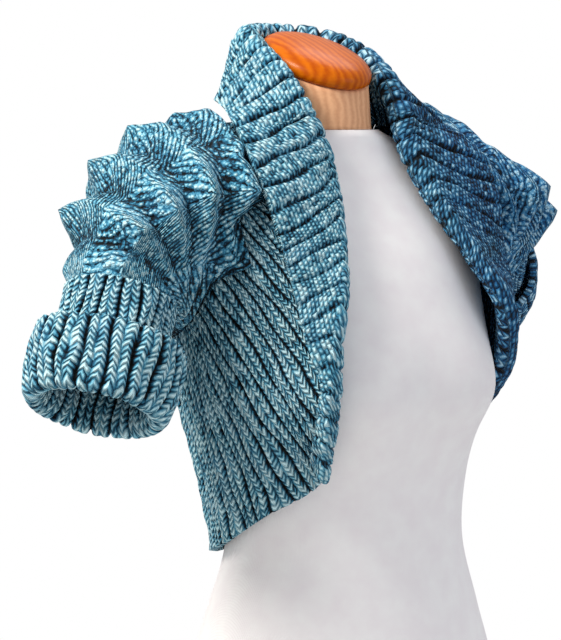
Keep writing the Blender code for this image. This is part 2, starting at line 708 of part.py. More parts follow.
def main():
    """Clears the scene and makes the cardigan and its form."""
    for thing in list(bpy.data.objects):
        bpy.data.objects.remove(thing, do_unlink=True)
    make_form()
    knit = knit_material("knit_wool", KNIT_COLOUR, 0.9)
    folded = np.array([0, 0.25, 0.5, 0.75, 1.0, 1.25, 1.5, 1.75, 2.0, 2.35, 2.7, 3.0])
    flat = np.linspace(0, 1, 6)
    make_band("collar", -COLLAR_RIBS, COLLAR_RIBS, folded, True, knit)
    make_band("front_right", COLLAR_RIBS, FRONT_RIBS, folded, True, knit)
    ring = 2 * HALF_RING
    make_band("front_left", ring - FRONT_RIBS, ring - COLLAR_RIBS, folded, True, knit)
    make_band("hem_band", FRONT_RIBS, ring - FRONT_RIBS, flat, False, knit)
    make_yoke("back_yoke", knit)
    lower_rows = np.array([0.0, 1.0, 2.0, 3.5, CUFF_SPLIT_ROW - CUFF_SPLIT_HALF])
    cuff_rows = np.array([CUFF_SPLIT_ROW + CUFF_SPLIT_HALF, 6.0, 7.0, 8.0, 9.0, 10.0])
    for name, sleeve in (("right", RIGHT_SLEEVE), ("left", LEFT_SLEEVE)):
        make_sleeve("sleeve_" + name, sleeve, knit)
        make_cuff("lower_sleeve_" + name, sleeve, lower_rows, knit)
        make_cuff("cuff_" + name, sleeve, cuff_rows, knit)


main()
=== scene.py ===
import bpy
import numpy as np
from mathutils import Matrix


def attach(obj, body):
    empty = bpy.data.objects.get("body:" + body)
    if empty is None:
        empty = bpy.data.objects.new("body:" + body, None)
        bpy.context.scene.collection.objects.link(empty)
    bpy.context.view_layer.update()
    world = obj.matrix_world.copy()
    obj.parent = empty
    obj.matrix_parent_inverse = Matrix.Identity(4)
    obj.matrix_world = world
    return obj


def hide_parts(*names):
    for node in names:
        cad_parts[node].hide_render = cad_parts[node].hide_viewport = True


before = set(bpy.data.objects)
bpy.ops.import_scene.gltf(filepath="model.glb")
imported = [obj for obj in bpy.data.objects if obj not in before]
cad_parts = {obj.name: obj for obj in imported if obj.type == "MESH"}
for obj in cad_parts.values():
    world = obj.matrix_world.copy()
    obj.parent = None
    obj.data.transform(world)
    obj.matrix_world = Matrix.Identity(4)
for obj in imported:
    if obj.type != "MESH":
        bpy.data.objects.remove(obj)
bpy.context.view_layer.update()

# %% [markdown]
# # A hand-knitted cardigan on a dress form
# A short cardigan of chunky wool hangs on a limbless padded torso. One ribbed band runs round the
# whole opening: it stands up as the collar, turns back on itself down the fronts and closes round
# the back as the hem. The sleeves and the back yoke are mitred squares whose corners stand out in
# points. The lesson makes each piece as a surface worked out with numpy, because knitting is a
# regular pattern that follows two directions, along the ribs and across them, and a function of
# two parameters gives both the shape and the place of each stitch.

# %% [markdown]
# ## The camera and the light
# The camera looks from the wearer's right at chest height with a long lens, so that upright edges
# stay upright. The light is a large soft panel from the left, a weaker one from the right and an
# even white surround, which is how such garments are shown on a plain ground.

# %% The camera
VIEW_TURN = np.radians(-39.0)
VIEW_RISE = np.radians(5.0)
VIEW_DISTANCE = 2.2
VIEW_SHIFT = -0.059  # metres to the right of the form's middle
VIEW_LEVEL = 0.4495
LENS_PIXELS = 2310.0  # focal length in the image's own pixels
IMAGE_WIDTH = 561
SENSOR_WIDTH = 36.0  # millimetres

right_way = np.array([np.cos(VIEW_TURN), np.sin(VIEW_TURN), 0.0])
toward = np.array([np.sin(VIEW_TURN), -np.cos(VIEW_TURN), 0.0]) * np.cos(VIEW_RISE)
toward = toward + np.array([0.0, 0.0, np.sin(VIEW_RISE)])
aim = VIEW_SHIFT * right_way + np.array([0.0, 0.0, VIEW_LEVEL])
camera = bpy.data.objects.new("camera", bpy.data.cameras.new("camera"))
camera.data.sensor_fit = "HORIZONTAL"
camera.data.sensor_width = SENSOR_WIDTH
camera.data.lens = SENSOR_WIDTH * LENS_PIXELS / IMAGE_WIDTH
camera.location = aim + VIEW_DISTANCE * toward
camera.rotation_euler = (np.pi / 2 - VIEW_RISE, 0.0, VIEW_TURN)
bpy.context.scene.collection.objects.link(camera)
bpy.context.scene.camera = camera
print("camera at", np.round(camera.location, 3), "lens", round(camera.data.lens, 1))

# %% Colours and shader nodes


def linear(hex_colour):
    """The linear colour of an sRGB hex value: each channel to the power of about 2.4."""
    values = np.array([int(hex_colour[k : k + 2], 16) / 255 for k in (1, 3, 5)])
    curved = np.where(values <= 0.04045, values / 12.92, ((values + 0.055) / 1.055) ** 2.4)
    return (*curved.tolist(), 1.0)


def node(tree, kind, inputs, **settings):
    """A new shader node. inputs names each socket's value, or the output that it is linked to."""
    made = tree.nodes.new("ShaderNode" + kind)
    for name, value in settings.items():
        setattr(made, name, value)
    for place, value in inputs.items():
        if isinstance(value, bpy.types.NodeSocket):
            tree.links.new(value, made.inputs[place])
        else:
            made.inputs[place].default_value = value
    return made


def ramp(tree, factor, stops):
    """A colour ramp from (place, hex colour) stops."""
    made = node(tree, "ValToRGB", {"Fac": factor})
    while len(made.color_ramp.elements) < len(stops):
        made.color_ramp.elements.new(0.5)
    for element, (place, colour) in zip(made.color_ramp.elements, stops):
        element.position = place
        element.color = linear(colour)
    return made.outputs["Color"]


def noise(tree, place, scale, detail, roughness=0.5):
    """The outputs of a noise texture, a number under Fac and three under Color."""
    settings = {"Vector": place, "Scale": scale, "Detail": detail, "Roughness": roughness}
    return node(tree, "TexNoise", settings).outputs


def new_finish(name, **inputs):
    """A new material, its shader with plain inputs set, and the output of the place on the object."""
    material = bpy.data.materials.new(name)
    material.use_nodes = True
    shader = material.node_tree.nodes["Principled BSDF"]
    for words, value in inputs.items():
        shader.inputs[words.replace("_", " ")].default_value = value
    return material, shader, node(material.node_tree, "TexCoord", {}).outputs["Object"]


def clothe(shader, colour, height, distance, strength):
    """Link a colour to a shader, and a bump made from a height, its distance in metres."""
    tree = shader.id_data
    bump = node(tree, "Bump", {"Height": height, "Distance": distance, "Strength": strength})
    tree.links.new(colour, shader.inputs["Base Color"])
    tree.links.new(bump.outputs["Normal"], shader.inputs["Normal"])


print("white is", linear("#FFFFFF"))

# %% The light
scene = bpy.context.scene
scene.view_settings.view_transform = "Standard"
world = bpy.data.worlds.new("white_surround")
scene.world = world
world.use_nodes = True
WORLD_LIGHT = 0.55  # of the white that the camera sees
LIT_LEVEL = 0.45  # the lamps face the form's middle at this level
tree = world.node_tree
seen = node(tree, "LightPath", {}).outputs["Is Camera Ray"]
strength = node(tree, "MapRange", {0: seen, 3: WORLD_LIGHT, 4: 1.0}).outputs[0]
tree.links.new(strength, tree.nodes["Background"].inputs["Strength"])
tree.nodes["Background"].inputs["Color"].default_value = linear("#FFFFFF")

LIGHTS = (
    # name, turn from the camera, rise, distance, size, watts, colour
    ("key", -55, 42, 2.2, 0.8, 54.0, "#FFFAF2"),
    ("fill", 65, 15, 2.4, 1.4, 8.0, "#D6E6FF"),
    ("top", 150, 60, 2.0, 1.0, 10.0, "#FFFFFF"),
)
for name, turn, rise, distance, size, watts, colour in LIGHTS:
    lamp = bpy.data.objects.new(name, bpy.data.lights.new(name, "AREA"))
    lamp.data.size = size
    lamp.data.energy = watts
    lamp.data.color = linear(colour)[:3]
    angle = VIEW_TURN + np.radians(turn)
    level = np.radians(rise)
    way = np.array([np.sin(angle) * np.cos(level), -np.cos(angle) * np.cos(level), np.sin(level)])
    lamp.location = np.array([0.0, 0.0, LIT_LEVEL]) + distance * way
    lamp.rotation_euler = (np.pi / 2 - level, 0.0, angle)
    scene.collection.objects.link(lamp)
print("lights:", [row[0] for row in LIGHTS])

# %% [markdown]
# ## The figure that everything follows
# The torso is a stack of ovals: a short table gives each level's half width and how far it reaches
# to the front and the back, and a smooth curve is drawn through the rows. The cardigan's pieces
# are then described as a turn round the figure, a level, and a clearance over its surface, so that
# each lies over the bust and the back as worn cloth does.

# %% The figure's tables
BODY_LEVELS = np.array((
    # level, half_width, front, back, in millimetres
    (0, 166, 110, 112),
    (55, 171, 114, 118),
    (110, 168, 110, 118),
    (170, 149, 100, 106),
    (240, 128, 91, 90),
    (300, 131, 94, 90),
    (345, 138, 106, 95),
    (385, 145, 119, 100),
    (425, 149, 117, 105),
    (470, 154, 101, 110),
    (520, 159, 76, 114),
    (560, 156, 48, 114),
    (590, 138, 28, 107),
    (610, 108, 19, 99),
    (622, 82, 16, 93),
    (630, 62, 14, 89),
    (645, 55, 16, 90),
    (665, 53, 16, 90),
)) / 1000
CENTRE_LEVELS = np.array((
    # level, behind, in millimetres
    (0, 0),
    (480, 0),
    (560, 14),
    (610, 31),
    (640, 37),
    (750, 37),
)) / 1000
BODY_TOP = 0.630
BUST_LEVEL, BUST_SPREAD = 0.385, 0.050
BUST_TURN, BUST_WIDTH, BUST_RISE = 0.66, 0.42, 0.016


def cubic(start, leave, end, arrive, t):
    """A cubic from start to end as t goes from 0 to 1, leaving and arriving with the given slopes."""
    first = start * (2 * t**3 - 3 * t**2 + 1) + leave * (t**3 - 2 * t**2 + t)
    return first + end * (3 * t**2 - 2 * t**3) + arrive * (t**3 - t**2)


def through_rows(rows, at):
    """A cubic between neighbouring rows, its slope at a row being that between the rows beside it."""
    table = np.array(rows, dtype=float)
    places = table[:, 0]
    values = table[:, 1:]
    slopes = np.gradient(values, places, axis=0)
    at = np.clip(np.asarray(at, dtype=float), places[0], places[-1])
    row = np.clip(np.searchsorted(places, at, side="right") - 1, 0, len(places) - 2)
    step = (places[row + 1] - places[row])[..., None]
    t = (at - places[row])[..., None] / step
    return cubic(values[row], slopes[row] * step, values[row + 1], slopes[row + 1] * step, t)


def unit(vectors):
    """Each vector divided by its length."""
    return vectors / np.maximum(np.linalg.norm(vectors, axis=-1, keepdims=True), 1e-12)


def centre_behind(level):
    """How far the figure's centre lies towards +Y at a level."""
    return through_rows(CENTRE_LEVELS, level)[..., 0]


def body_radius(turn, level):
    """An oval of the level's own half width and depth, with a soft hump at each side of the bust."""
    half_width, front, back = np.moveaxis(through_rows(BODY_LEVELS, level), -1, 0)
    behind = centre_behind(level)
    depth = np.where(np.cos(turn) < 0, front + behind, back - behind)
    oval = 1 / np.sqrt((np.sin(turn) / half_width) ** 2 + (np.cos(turn) / depth) ** 2)
    across = np.exp(-(((np.pi - np.abs(turn) - BUST_TURN) / BUST_WIDTH) ** 2))
    upright = np.exp(-(((level - BUST_LEVEL) / BUST_SPREAD) ** 2))
    return oval + BUST_RISE * across * upright


def over_torso(turn, level, clear):
    """The point at a turn, a level and a clearance over the torso."""
    radius = body_radius(turn, level) + clear
    x = radius * np.sin(turn)
    return np.stack([x, centre_behind(level) + radius * np.cos(turn), level + 0 * x], axis=-1)


def from_torso(points):
    """The other way round: points as turn, level and clearance."""
    forward = points[..., 1] - centre_behind(points[..., 2])
    turn, level = np.arctan2(points[..., 0], forward), points[..., 2]
    return np.stack([turn, level, np.hypot(points[..., 0], forward) - body_radius(turn, level)], axis=-1)


def over_figure(start, end, share):
    """From start to end points, with turn, level and clearance over the torso all changing evenly."""
    first, last = from_torso(start), from_torso(end)
    return over_torso(*np.moveaxis(first + (last - first) * np.asarray(share)[..., None], -1, 0))


print("chest radius to the front:", round(float(body_radius(np.pi, 0.385)), 4))

# %% Grids of points and closed walls
WALL = 0.0034  # the thickness of plain knitting


def first_again(grid):
    """A grid with its first column put on again at the end, for a ring of columns."""
    return np.concatenate([grid, grid[:, :1]], axis=1)


def grid_normals(grid, closed):
    """The cross product of the lines between each point's neighbours, at length one."""
    if closed:
        grid = np.concatenate([grid[:, -1:], first_again(grid)], axis=1)
    normals = unit(np.cross(np.gradient(grid, axis=1), np.gradient(grid, axis=0)))
    return normals[:, 1:-1] if closed else normals


def mesh_from(name, points, quads, stitches, material):
    """A smooth mesh object from points and quads, turned outwards, with a knit attribute per corner."""
    first, second, third = points[quads[:, 0]], points[quads[:, 1]], points[quads[:, 2]]
    fourth = points[quads[:, 3]]
    volume = np.sum(first * np.cross(second, third)) + np.sum(first * np.cross(third, fourth))
    if volume < 0:
        quads = quads[:, ::-1]
        stitches = None if stitches is None else stitches[:, ::-1]
    mesh = bpy.data.meshes.new(name)
    mesh.vertices.add(len(points))
    mesh.vertices.foreach_set("co", points.astype(np.float32).ravel())
    mesh.loops.add(quads.size)
    mesh.loops.foreach_set("vertex_index", quads.astype(np.int32).ravel())
    mesh.polygons.add(len(quads))
    mesh.polygons.foreach_set("loop_start", np.arange(0, quads.size, 4, dtype=np.int32))
    mesh.update(calc_edges=True)
    mesh.polygons.foreach_set("use_smooth", np.ones(len(quads), dtype=bool))
    if stitches is not None:
        knit = mesh.attributes.new("knit", "FLOAT_VECTOR", "CORNER")
        knit.data.foreach_set("vector", stitches.astype(np.float32).ravel())
    mesh.validate()
    mesh.materials.append(material)
    made = bpy.data.objects.new(name, mesh)
    scene.collection.objects.link(made)
    return made


def wall(name, middle, outward, raised, knit, closed, material):
    """A closed wall on a middle grid, rows by columns: both faces, the two ends and the sides.

    raised says how far the outer and the inner face stand off a plain wall. knit holds columns,
    rows and a painted light level (high on ribs and ridges) for each point, with one column more where the
    wall is closed.
    """
    rows, columns = middle.shape[:2]
    spans = columns if closed else columns - 1
    rise_out, rise_in = [(WALL / 2 + part * np.ones((rows, columns)))[..., None] for part in raised]
    points = np.concatenate([middle + outward * rise_out, middle - outward * rise_in]).reshape(-1, 3)
    values = knit.reshape(-1, 3)

    def numbers(row, column, inside):
        """Point numbers and knit numbers at rows and columns."""
        point = row * columns + column % columns + inside * rows * columns
        return np.stack([point, row * knit.shape[1] + column], axis=-1)

    row, column = [part.ravel() for part in np.mgrid[0 : rows - 1, 0:spans]]
    corners = ((0, 0), (0, 1), (1, 1), (1, 0))
    face = np.stack([numbers(row + down, column + over, 0) for down, over in corners], axis=1)
    back = np.stack([numbers(row + down, column + over, 1) for down, over in corners[::-1]], axis=1)
    # each edge: its first row and column, its length, the step along it, and which end comes first
    edges = [(0, 0, spans, (0, 1), 1), (rows - 1, 0, spans, (0, 1), 0)]
    if not closed:
        edges += [(0, 0, rows - 1, (1, 0), 0), (0, columns - 1, rows - 1, (1, 0), 1)]
    sets = [face, back]
    for row, column, count, (down, over), near in edges:
        steps = np.arange(count)
        row, column = row + steps * down, column + steps * over
        order = ((near, 0), (1 - near, 0), (1 - near, 1), (near, 1))
        sets.append(np.stack([numbers(row + k * down, column + k * over, side) for k, side in order], axis=1))
    quads = np.concatenate(sets)
    return mesh_from("knit_" + name, points, quads[..., 0], values[quads[..., 1]], material)


def distance_along(grid):
    """How far each point lies along its column, from the column's first point."""
    steps = np.linalg.norm(np.diff(grid, axis=0), axis=-1)
    return np.concatenate([np.zeros((1, grid.shape[1])), np.cumsum(steps, axis=0)])


print("a plain wall is", WALL * 1000, "mm thick")

# %% [markdown]
# ## Chunky wool, knitted
# The yarn is a thick soft singles wool, teal with random patches of blue from its dye, so no two
# stitches have quite the same colour; towards the wearer's left, away from the key lamp, it is
# painted bluer and darker as painted shade. On the ribs a stitch is about 9 mm wide and 5.5 mm
# tall: a V of two strands, with painted shade in the gaps between them. The other side of the
# fabric shows smaller bumps, and the squares show rows of knots. The attribute knit counts stitches
# across in X and rows along in Y, and Z is a painted light level, high on ribs and ridges and low
# in their grooves and valleys, so a few sums turn these three numbers into strands, painted shade
# and painted highlights at the right size anywhere.

# %% The yarn's finish
TEAL_STOPS = (
    # how high and lit: painted shade at the low stops, painted highlight at the top; colour
    (0.20, "#03090D"),
    (0.36, "#133F58"),
    (0.52, "#3784A6"),
    (0.70, "#7DC1D7"),
    (0.90, "#CDF1F8"),
)
BLUE_STOPS = ((0.24, "#020812"), (0.43, "#0B2E52"), (0.62, "#1B5F93"), (0.82, "#5299C4"), (1.0, "#AFD8EE"))
# painted shade: between these the yarn turns to the darker blue ramp, towards the wearer's left, away from
# the key lamp
SHADED_SIDE_FROM, SHADED_SIDE_TO = -0.04, 0.10  # from the wearer's right to the left, in metres
STRAND_SHARE = {"rib": 0.38, "purl": 0.38, "garter": 0.56}
LIGHT_LEVEL_SHARE = {"rib": 0.54, "purl": 0.54, "garter": 0.42}
FLECK_SHARE, PATCH_SHARE, STITCH_SHARE = 0.50, 0.40, 0.44
KNOT_SCALE = 250.0  # cells 4 mm across


def yarn_finish(name, stitch):
    """Wool knitted in V shapes (rib), in rows of small arches (purl) or in rows of knots (garter)."""
    material, shader, place = new_finish(
        name, Roughness=0.86, Specular_IOR_Level=0.2, Sheen_Weight=0.05, Sheen_Roughness=0.45,
        Sheen_Tint=linear("#CFEAF2"))
    tree = material.node_tree

    def maths(operation, *values):
        """The output of one sum on numbers or outputs."""
        return node(tree, "Math", dict(enumerate(values)), operation=operation).outputs[0]

    def split(vector):
        """A vector's, or a colour's, three numbers."""
        return node(tree, "SeparateXYZ", {"Vector": vector}).outputs

    def swing(value, share):
        """A noise as a swing to both sides of nothing: its value less a half, times share."""
        return maths("MULTIPLY", maths("SUBTRACT", value, 0.5), share)

    def bumps(value):
        """A bump between each two whole numbers: the size of the sine of pi times the value."""
        return maths("ABSOLUTE", maths("SINE", maths("MULTIPLY", value, np.pi)))

    parts = split(node(tree, "Attribute", {}, attribute_name="knit").outputs["Vector"])
    astray = split(noise(tree, place, 55.0, 2.0)["Color"])
    across = maths("ADD", parts[0], swing(astray[0], 0.7))
    along = maths("ADD", parts[1], swing(astray[1], 1.0))
    if stitch == "garter":
        # rows of knots: a bump for each row, times round cells
        cells = node(tree, "TexVoronoi", {"Vector": place, "Scale": KNOT_SCALE}).outputs
        knots = node(tree, "MapRange", {0: cells["Distance"], 1: 0.10, 2: 0.62, 3: 1.0, 4: 0.0}).outputs[0]
        ridge = bumps(maths("ADD", parts[1], swing(astray[1], 0.45)))
        strand = maths("MULTIPLY", ridge, maths("ADD", maths("MULTIPLY", knots, 0.80), 0.45))
        one_across, one_along = maths("MULTIPLY", split(cells["Color"])[0], 99.0), maths("FLOOR", along)
    elif stitch == "purl":
        # rows of arches, each row half a stitch on from the row before
        shifted = maths("ADD", across, maths("MULTIPLY", maths("FLOOR", along), 0.5))
        strand = maths("MULTIPLY", bumps(along), maths("ADD", maths("MULTIPLY", bumps(shifted), 0.8), 0.2))
        one_across, one_along = maths("FLOOR", shifted), maths("FLOOR", along)
    else:
        # a V: the row runs on by nearly one from a stitch's middle to its sides
        side = maths("MULTIPLY", maths("ABSOLUTE", maths("SUBTRACT", maths("FRACT", across), 0.5)), 2.0)
        slant = maths("ADD", along, maths("MULTIPLY", side, 0.9))
        gap = node(tree, "MapRange", {0: side, 1: 0.62, 2: 1.0, 3: 1.0, 4: 0.1}).outputs[0]
        strand = maths("MULTIPLY", bumps(slant), gap)
        one_across, one_along = maths("FLOOR", maths("MULTIPLY", across, 2.0)), maths("FLOOR", slant)
    which = node(tree, "CombineXYZ", {0: one_across, 1: one_along}).outputs[0]
    each = node(tree, "TexWhiteNoise", {"Vector": which}).outputs["Value"]
    flecks = noise(tree, place, 300.0, 3.0, 0.7)["Fac"]
    patches = noise(tree, place, 38.0, 2.0)["Fac"]
    # painted shade and painted highlight: the knit Z and the strands set how light the colour is, dark in the
    # gaps, grooves and valleys and light on the tops
    raised = maths("MULTIPLY", parts[2], LIGHT_LEVEL_SHARE[stitch])
    depth = maths("ADD", maths("MULTIPLY", strand, STRAND_SHARE[stitch]), raised)
    for tone, share in ((flecks, FLECK_SHARE), (patches, PATCH_SHARE), (each, STITCH_SHARE)):
        depth = maths("ADD", depth, swing(tone, share))
    # painted shade towards the wearer's left, added to random blue patches of the yarn's dye
    shaded_side = {0: split(place)[0], 1: SHADED_SIDE_FROM, 2: SHADED_SIDE_TO, 3: 0.1, 4: 1.0}
    bluer = maths("ADD", node(tree, "MapRange", shaded_side).outputs[0], swing(patches, 1.1))
    dye_and_painted_light = {"Factor": bluer, "A": ramp(tree, depth, TEAL_STOPS), "B": ramp(tree, depth, BLUE_STOPS)}
    colour_with_painted_light = node(tree, "Mix", dye_and_painted_light, data_type="RGBA").outputs["Result"]
    fibre = noise(tree, place, 700.0, 3.0)["Fac"]
    clothe(shader, colour_with_painted_light, maths("ADD", strand, maths("MULTIPLY", fibre, 0.22)), 0.0036, 1.0)
    return material


ribbed_wool = yarn_finish("ribbed_singles_wool", "rib")
purl_wool = yarn_finish("purl_side_singles_wool", "purl")
garter_wool = yarn_finish("garter_stitch_singles_wool", "garter")
print("yarn finishes:", ribbed_wool.name, purl_wool.name, garter_wool.name)

# %% The dress form's finishes


def cover_finish():
    """White jersey: fine up-and-down ribs of 0.9 mm with a slight pull across them."""
    material, shader, place = new_finish("form_jersey_cover", Roughness=0.8, Sheen_Weight=0.15)
    tree = material.node_tree
    ribs = {"Vector": place, "Scale": 350.0, "Distortion": 1.2, "Detail": 2.0}
    tint = ramp(tree, noise(tree, place, 45.0, 3.0)["Fac"], ((0.3, "#F5EFF1"), (0.7, "#FAF7F7")))
    clothe(shader, tint, node(tree, "TexWave", ribs).outputs["Fac"], 0.0003, 0.35)
    return material


def wood_finish(name, stops, roughness, coat):
    """Turned wood: growth lines stretched along the grain, under a varnish."""
    material, shader, place = new_finish(
        name, Roughness=roughness, Coat_Weight=coat, Coat_Roughness=0.08, Specular_IOR_Level=0.12)
    tree = material.node_tree
    stretched = node(tree, "Mapping", {"Vector": place, "Scale": (1.0, 0.22, 1.0)}).outputs[0]
    lines = {"Vector": stretched, "Scale": 38.0, "Distortion": 7.0, "Detail": 3.0}
    grain = node(tree, "TexWave", lines).outputs["Fac"]
    pores = noise(tree, stretched, 420.0, 2.0)["Fac"]
    mixed = node(tree, "Math", {0: grain, 1: pores}, operation="ADD").outputs[0]
    half = node(tree, "Math", {0: mixed, 1: 0.5}, operation="MULTIPLY").outputs[0]
    clothe(shader, ramp(tree, half, stops), pores, 0.0002, 0.2)
    return material


cover = cover_finish()
neck_wood = wood_finish("neck_satin_wood", ((0.2, "#DA9E76"), (0.8, "#F0B88C")), 0.5, 0.05)
cap_wood = wood_finish("cap_varnished_wood", ((0.15, "#AE4800"), (0.8, "#CE6802")), 0.32, 0.04)
print("form finishes:", cover.name, neck_wood.name, cap_wood.name)

# %% [markdown]
# ## The dress form
# A padded torso, a turned neck block and a slanted cap: the form is not part of the garment, but it
# is what gives the garment its worn shape. Rings of points are stacked from the base upwards and
# each end is closed with a fan. The torso's rings come from the same function of turn and level
# that the knitting uses, so that the cloth's clearance over it is known everywhere.

# %% Torso, neck and cap
BODY_RINGS, BODY_SIDES = 90, 144
NECK_RADIUS, NECK_BASE, NECK_TOP, NECK_SIDES = 0.053, 0.6303, 0.668, 96
NECK_RINGS, NECK_TAPER = 12, 0.003
CAP_RADIUS, CAP_TILT, CAP_LEVEL = 0.051, 0.40, 0.696
CAP_SEAT = 0.0090  # from the cap's middle plane down to the neck's top
CAP_SECTION = (
    # share of the radius, rise over the cap's middle plane
    (0.40, -0.0075),
    (0.88, -0.0075),
    (0.96, -0.0068),
    (0.995, -0.0045),
    (1.00, -0.0012),
    (0.99, 0.0022),
    (0.95, 0.0055),
    (0.87, 0.0092),
    (0.72, 0.0125),
    (0.50, 0.0146),
    (0.25, 0.0154),
)


def stacked(name, rings, material):
    """Rings of an even number of points, joined by quads, with a fan of quads from each end's middle."""
    rings = np.array(rings)
    count, sides = rings.shape[:2]
    points = np.concatenate([rings.reshape(-1, 3), rings[0].mean(0)[None], rings[-1].mean(0)[None]])
    ring, side = [part.ravel() for part in np.mgrid[0 : count - 1, 0:sides]]
    low, after = ring * sides + side, ring * sides + (side + 1) % sides
    quads = [np.stack([low, after, after + sides, low + sides], axis=1)]
    even = np.arange(0, sides, 2)
    for start, middle, way in ((0, count * sides, -1), ((count - 1) * sides, count * sides + 1, 1)):
        rim = [start + (even + step) % sides for step in (0, 1, 2)[::way]]
        quads.append(np.stack([np.full(len(even), middle), *rim], axis=1))
    return mesh_from(name, points, np.concatenate(quads), None, material)


turns = np.linspace(0, 2 * np.pi, BODY_SIDES, endpoint=False) - np.pi
levels = BODY_TOP * np.linspace(0, 1, BODY_RINGS)
form_body = stacked("dress_form_torso", [over_torso(turns, level, 0.0) for level in levels], cover)

turns = np.linspace(0, 2 * np.pi, NECK_SIDES, endpoint=False)
behind = float(centre_behind(NECK_TOP))
slope = np.tan(CAP_TILT)
rings = []
for share in np.linspace(0, 1, NECK_RINGS):
    across = (NECK_RADIUS - NECK_TAPER * share) * np.sin(turns)
    ahead = (NECK_RADIUS - NECK_TAPER * share) * np.cos(turns)
    level = NECK_BASE + share * (CAP_LEVEL - CAP_SEAT + slope * ahead - NECK_BASE)
    rings.append(np.stack([across, behind + ahead, level], axis=-1))
form_neck = stacked("dress_form_neck", rings, neck_wood)

rings = []
for out, rise in CAP_SECTION:
    across = CAP_RADIUS * out * np.sin(turns)
    ahead = CAP_RADIUS * out * np.cos(turns) / np.cos(CAP_TILT)
    flat_ring = np.stack([across, behind + ahead, CAP_LEVEL + slope * ahead], axis=-1)
    rings.append(flat_ring + rise * np.array([0.0, -np.sin(CAP_TILT), np.cos(CAP_TILT)]))
form_cap = stacked("dress_form_cap", rings, cap_wood)
print("form pieces:", [len(piece.data.polygons) for piece in (form_body, form_neck, form_cap)], "faces")

# %% [markdown]
# ## The ribbed band
# One ring of ribbing frames the garment. It is numbered by ribs, from the centre back of the neck
# down the right front and round to the centre back of the hem. Each row of the table gives the
# point where a rib is sewn to the sleeve or yoke and the point where it folds or ends. Between
# them the rib follows the figure. Along the neck and fronts the band is folded double and the
# outer layer is turned back, which is what makes the soft roll of the collar.

# %% The band's tables
BAND_STATIONS = (
    # rib, seam_x, seam_y, seam_z, edge_x, edge_y, edge_z, all but the rib in millimetres
    (0.0, 0, 110, 630, 0, 99, 727),
    (1.7, -42, 98, 634, -34, 86, 724),
    (3.6, -66, 66, 637, -51, 52, 709),
    (5.1, -81, 43, 636, -53, 24, 688),
    (6.8, -90, 22, 631, -52, 0, 659),
    (9.4, -103, 0, 619, -50, -24, 607),
    (11.8, -118, -18, 603, -60, -52, 558),
    (14.6, -136, -32, 580, -79, -83, 508),
    (17.5, -151, -40, 552, -98, -111, 452),
    (20.0, -162, -36, 522, -104, -117, 395),
    (22.4, -170, -26, 496, -100, -97, 345),
    (24.0, -175, -15, 476, -97, -86, 318),
    (27.4, -178, 4, 453, -128, -46, 282),
    (30.8, -170, 38, 440, -135, 6, 250),
    (34.0, -144, 82, 436, -112, 56, 232),
    (37.5, -72, 118, 437, -62, 88, 226),
    (41.0, 0, 126, 438, 0, 101, 224),
)
TURNED_EDGES = (
    # rib, free_x, free_y, free_z
    (0.0, 0, 131, 658),
    (1.7, -43, 119, 657),
    (3.6, -80, 84, 655),
    (5.1, -107, 40, 646),
    (6.8, -128, 4, 634),
    (9.4, -143, -49, 588),
    (11.8, -138, -70, 541),
    (14.6, -134, -84, 499),
    (17.5, -130, -102, 449),
    (20.0, -121, -116, 400),
    (22.4, -118, -103, 354),
    (24.0, -116, -94, 335),
)
LEFT_EDGES = (
    # rib, edge_x, edge_y, edge_z
    (17.5, 102, -107, 452),
    (20.0, 130, -74, 398),
    (22.4, 149, -16, 352),
    (24.0, 148, 14, 325),
    (27.4, 140, 46, 296),
    (30.8, 122, 70, 266),
    (34.0, 96, 86, 243),
    (37.5, 56, 94, 229),
)
LEFT_TURNED_EDGES = (
    # rib, free_x, free_y, free_z
    (17.5, 134, -93, 452),
    (20.0, 156, -54, 403),
    (22.4, 164, -12, 362),
    (24.0, 163, 12, 342),
)
HALF_RING, COLLAR_RIBS, FRONT_RIBS = 41, 6, 24
ROLL, ROLL_DEPTH = 0.017, 0.009
SEAM_GAP, UP_TURN = 0.0015, 1.3


def both_sides(right, left):
    """Rows all the way round in metres: the right ones, then their mirror image with the left ones."""
    right = np.array(right)
    right[:, 1:] /= 1000
    mirror = np.ones(right.shape[1])
    mirror[1::3] = -1
    other = right.copy()
    for row in left:
        other[right[:, 0] == row[0], -3:] = np.array(row[1:]) / 1000 * (-1, 1, 1)
    other = other[::-1] * mirror
    other[:, 0] = 2 * HALF_RING - other[:, 0]
    before = right[6:0:-1] * mirror
    before[:, 0] *= -1
    if right[-1, 0] == HALF_RING:
        other = other[1:]
    return np.vstack([before, right, other])


BAND_ROWS = both_sides(BAND_STATIONS, LEFT_EDGES)
TURNED_ROWS = both_sides(TURNED_EDGES, LEFT_TURNED_EDGES)
print("band rows:", BAND_ROWS.shape, "turned rows:", TURNED_ROWS.shape)

# %% The band's surface


def band_layer(rib, share):
    """The under layer: over the figure from the seam (share 0) to the fold or hem (share 1)."""
    values = through_rows(BAND_ROWS, rib)
    return over_figure(values[..., 0:3], values[..., 3:6], share)


def slope_normals(surface, first, second):
    """The cross product of a surface's slopes along its two parameters, at length one."""
    small = 1e-3
    along_first = surface(first + small, second) - surface(first - small, second)
    along_second = surface(first, second + small) - surface(first, second - small)
    return unit(np.cross(along_first, along_second))


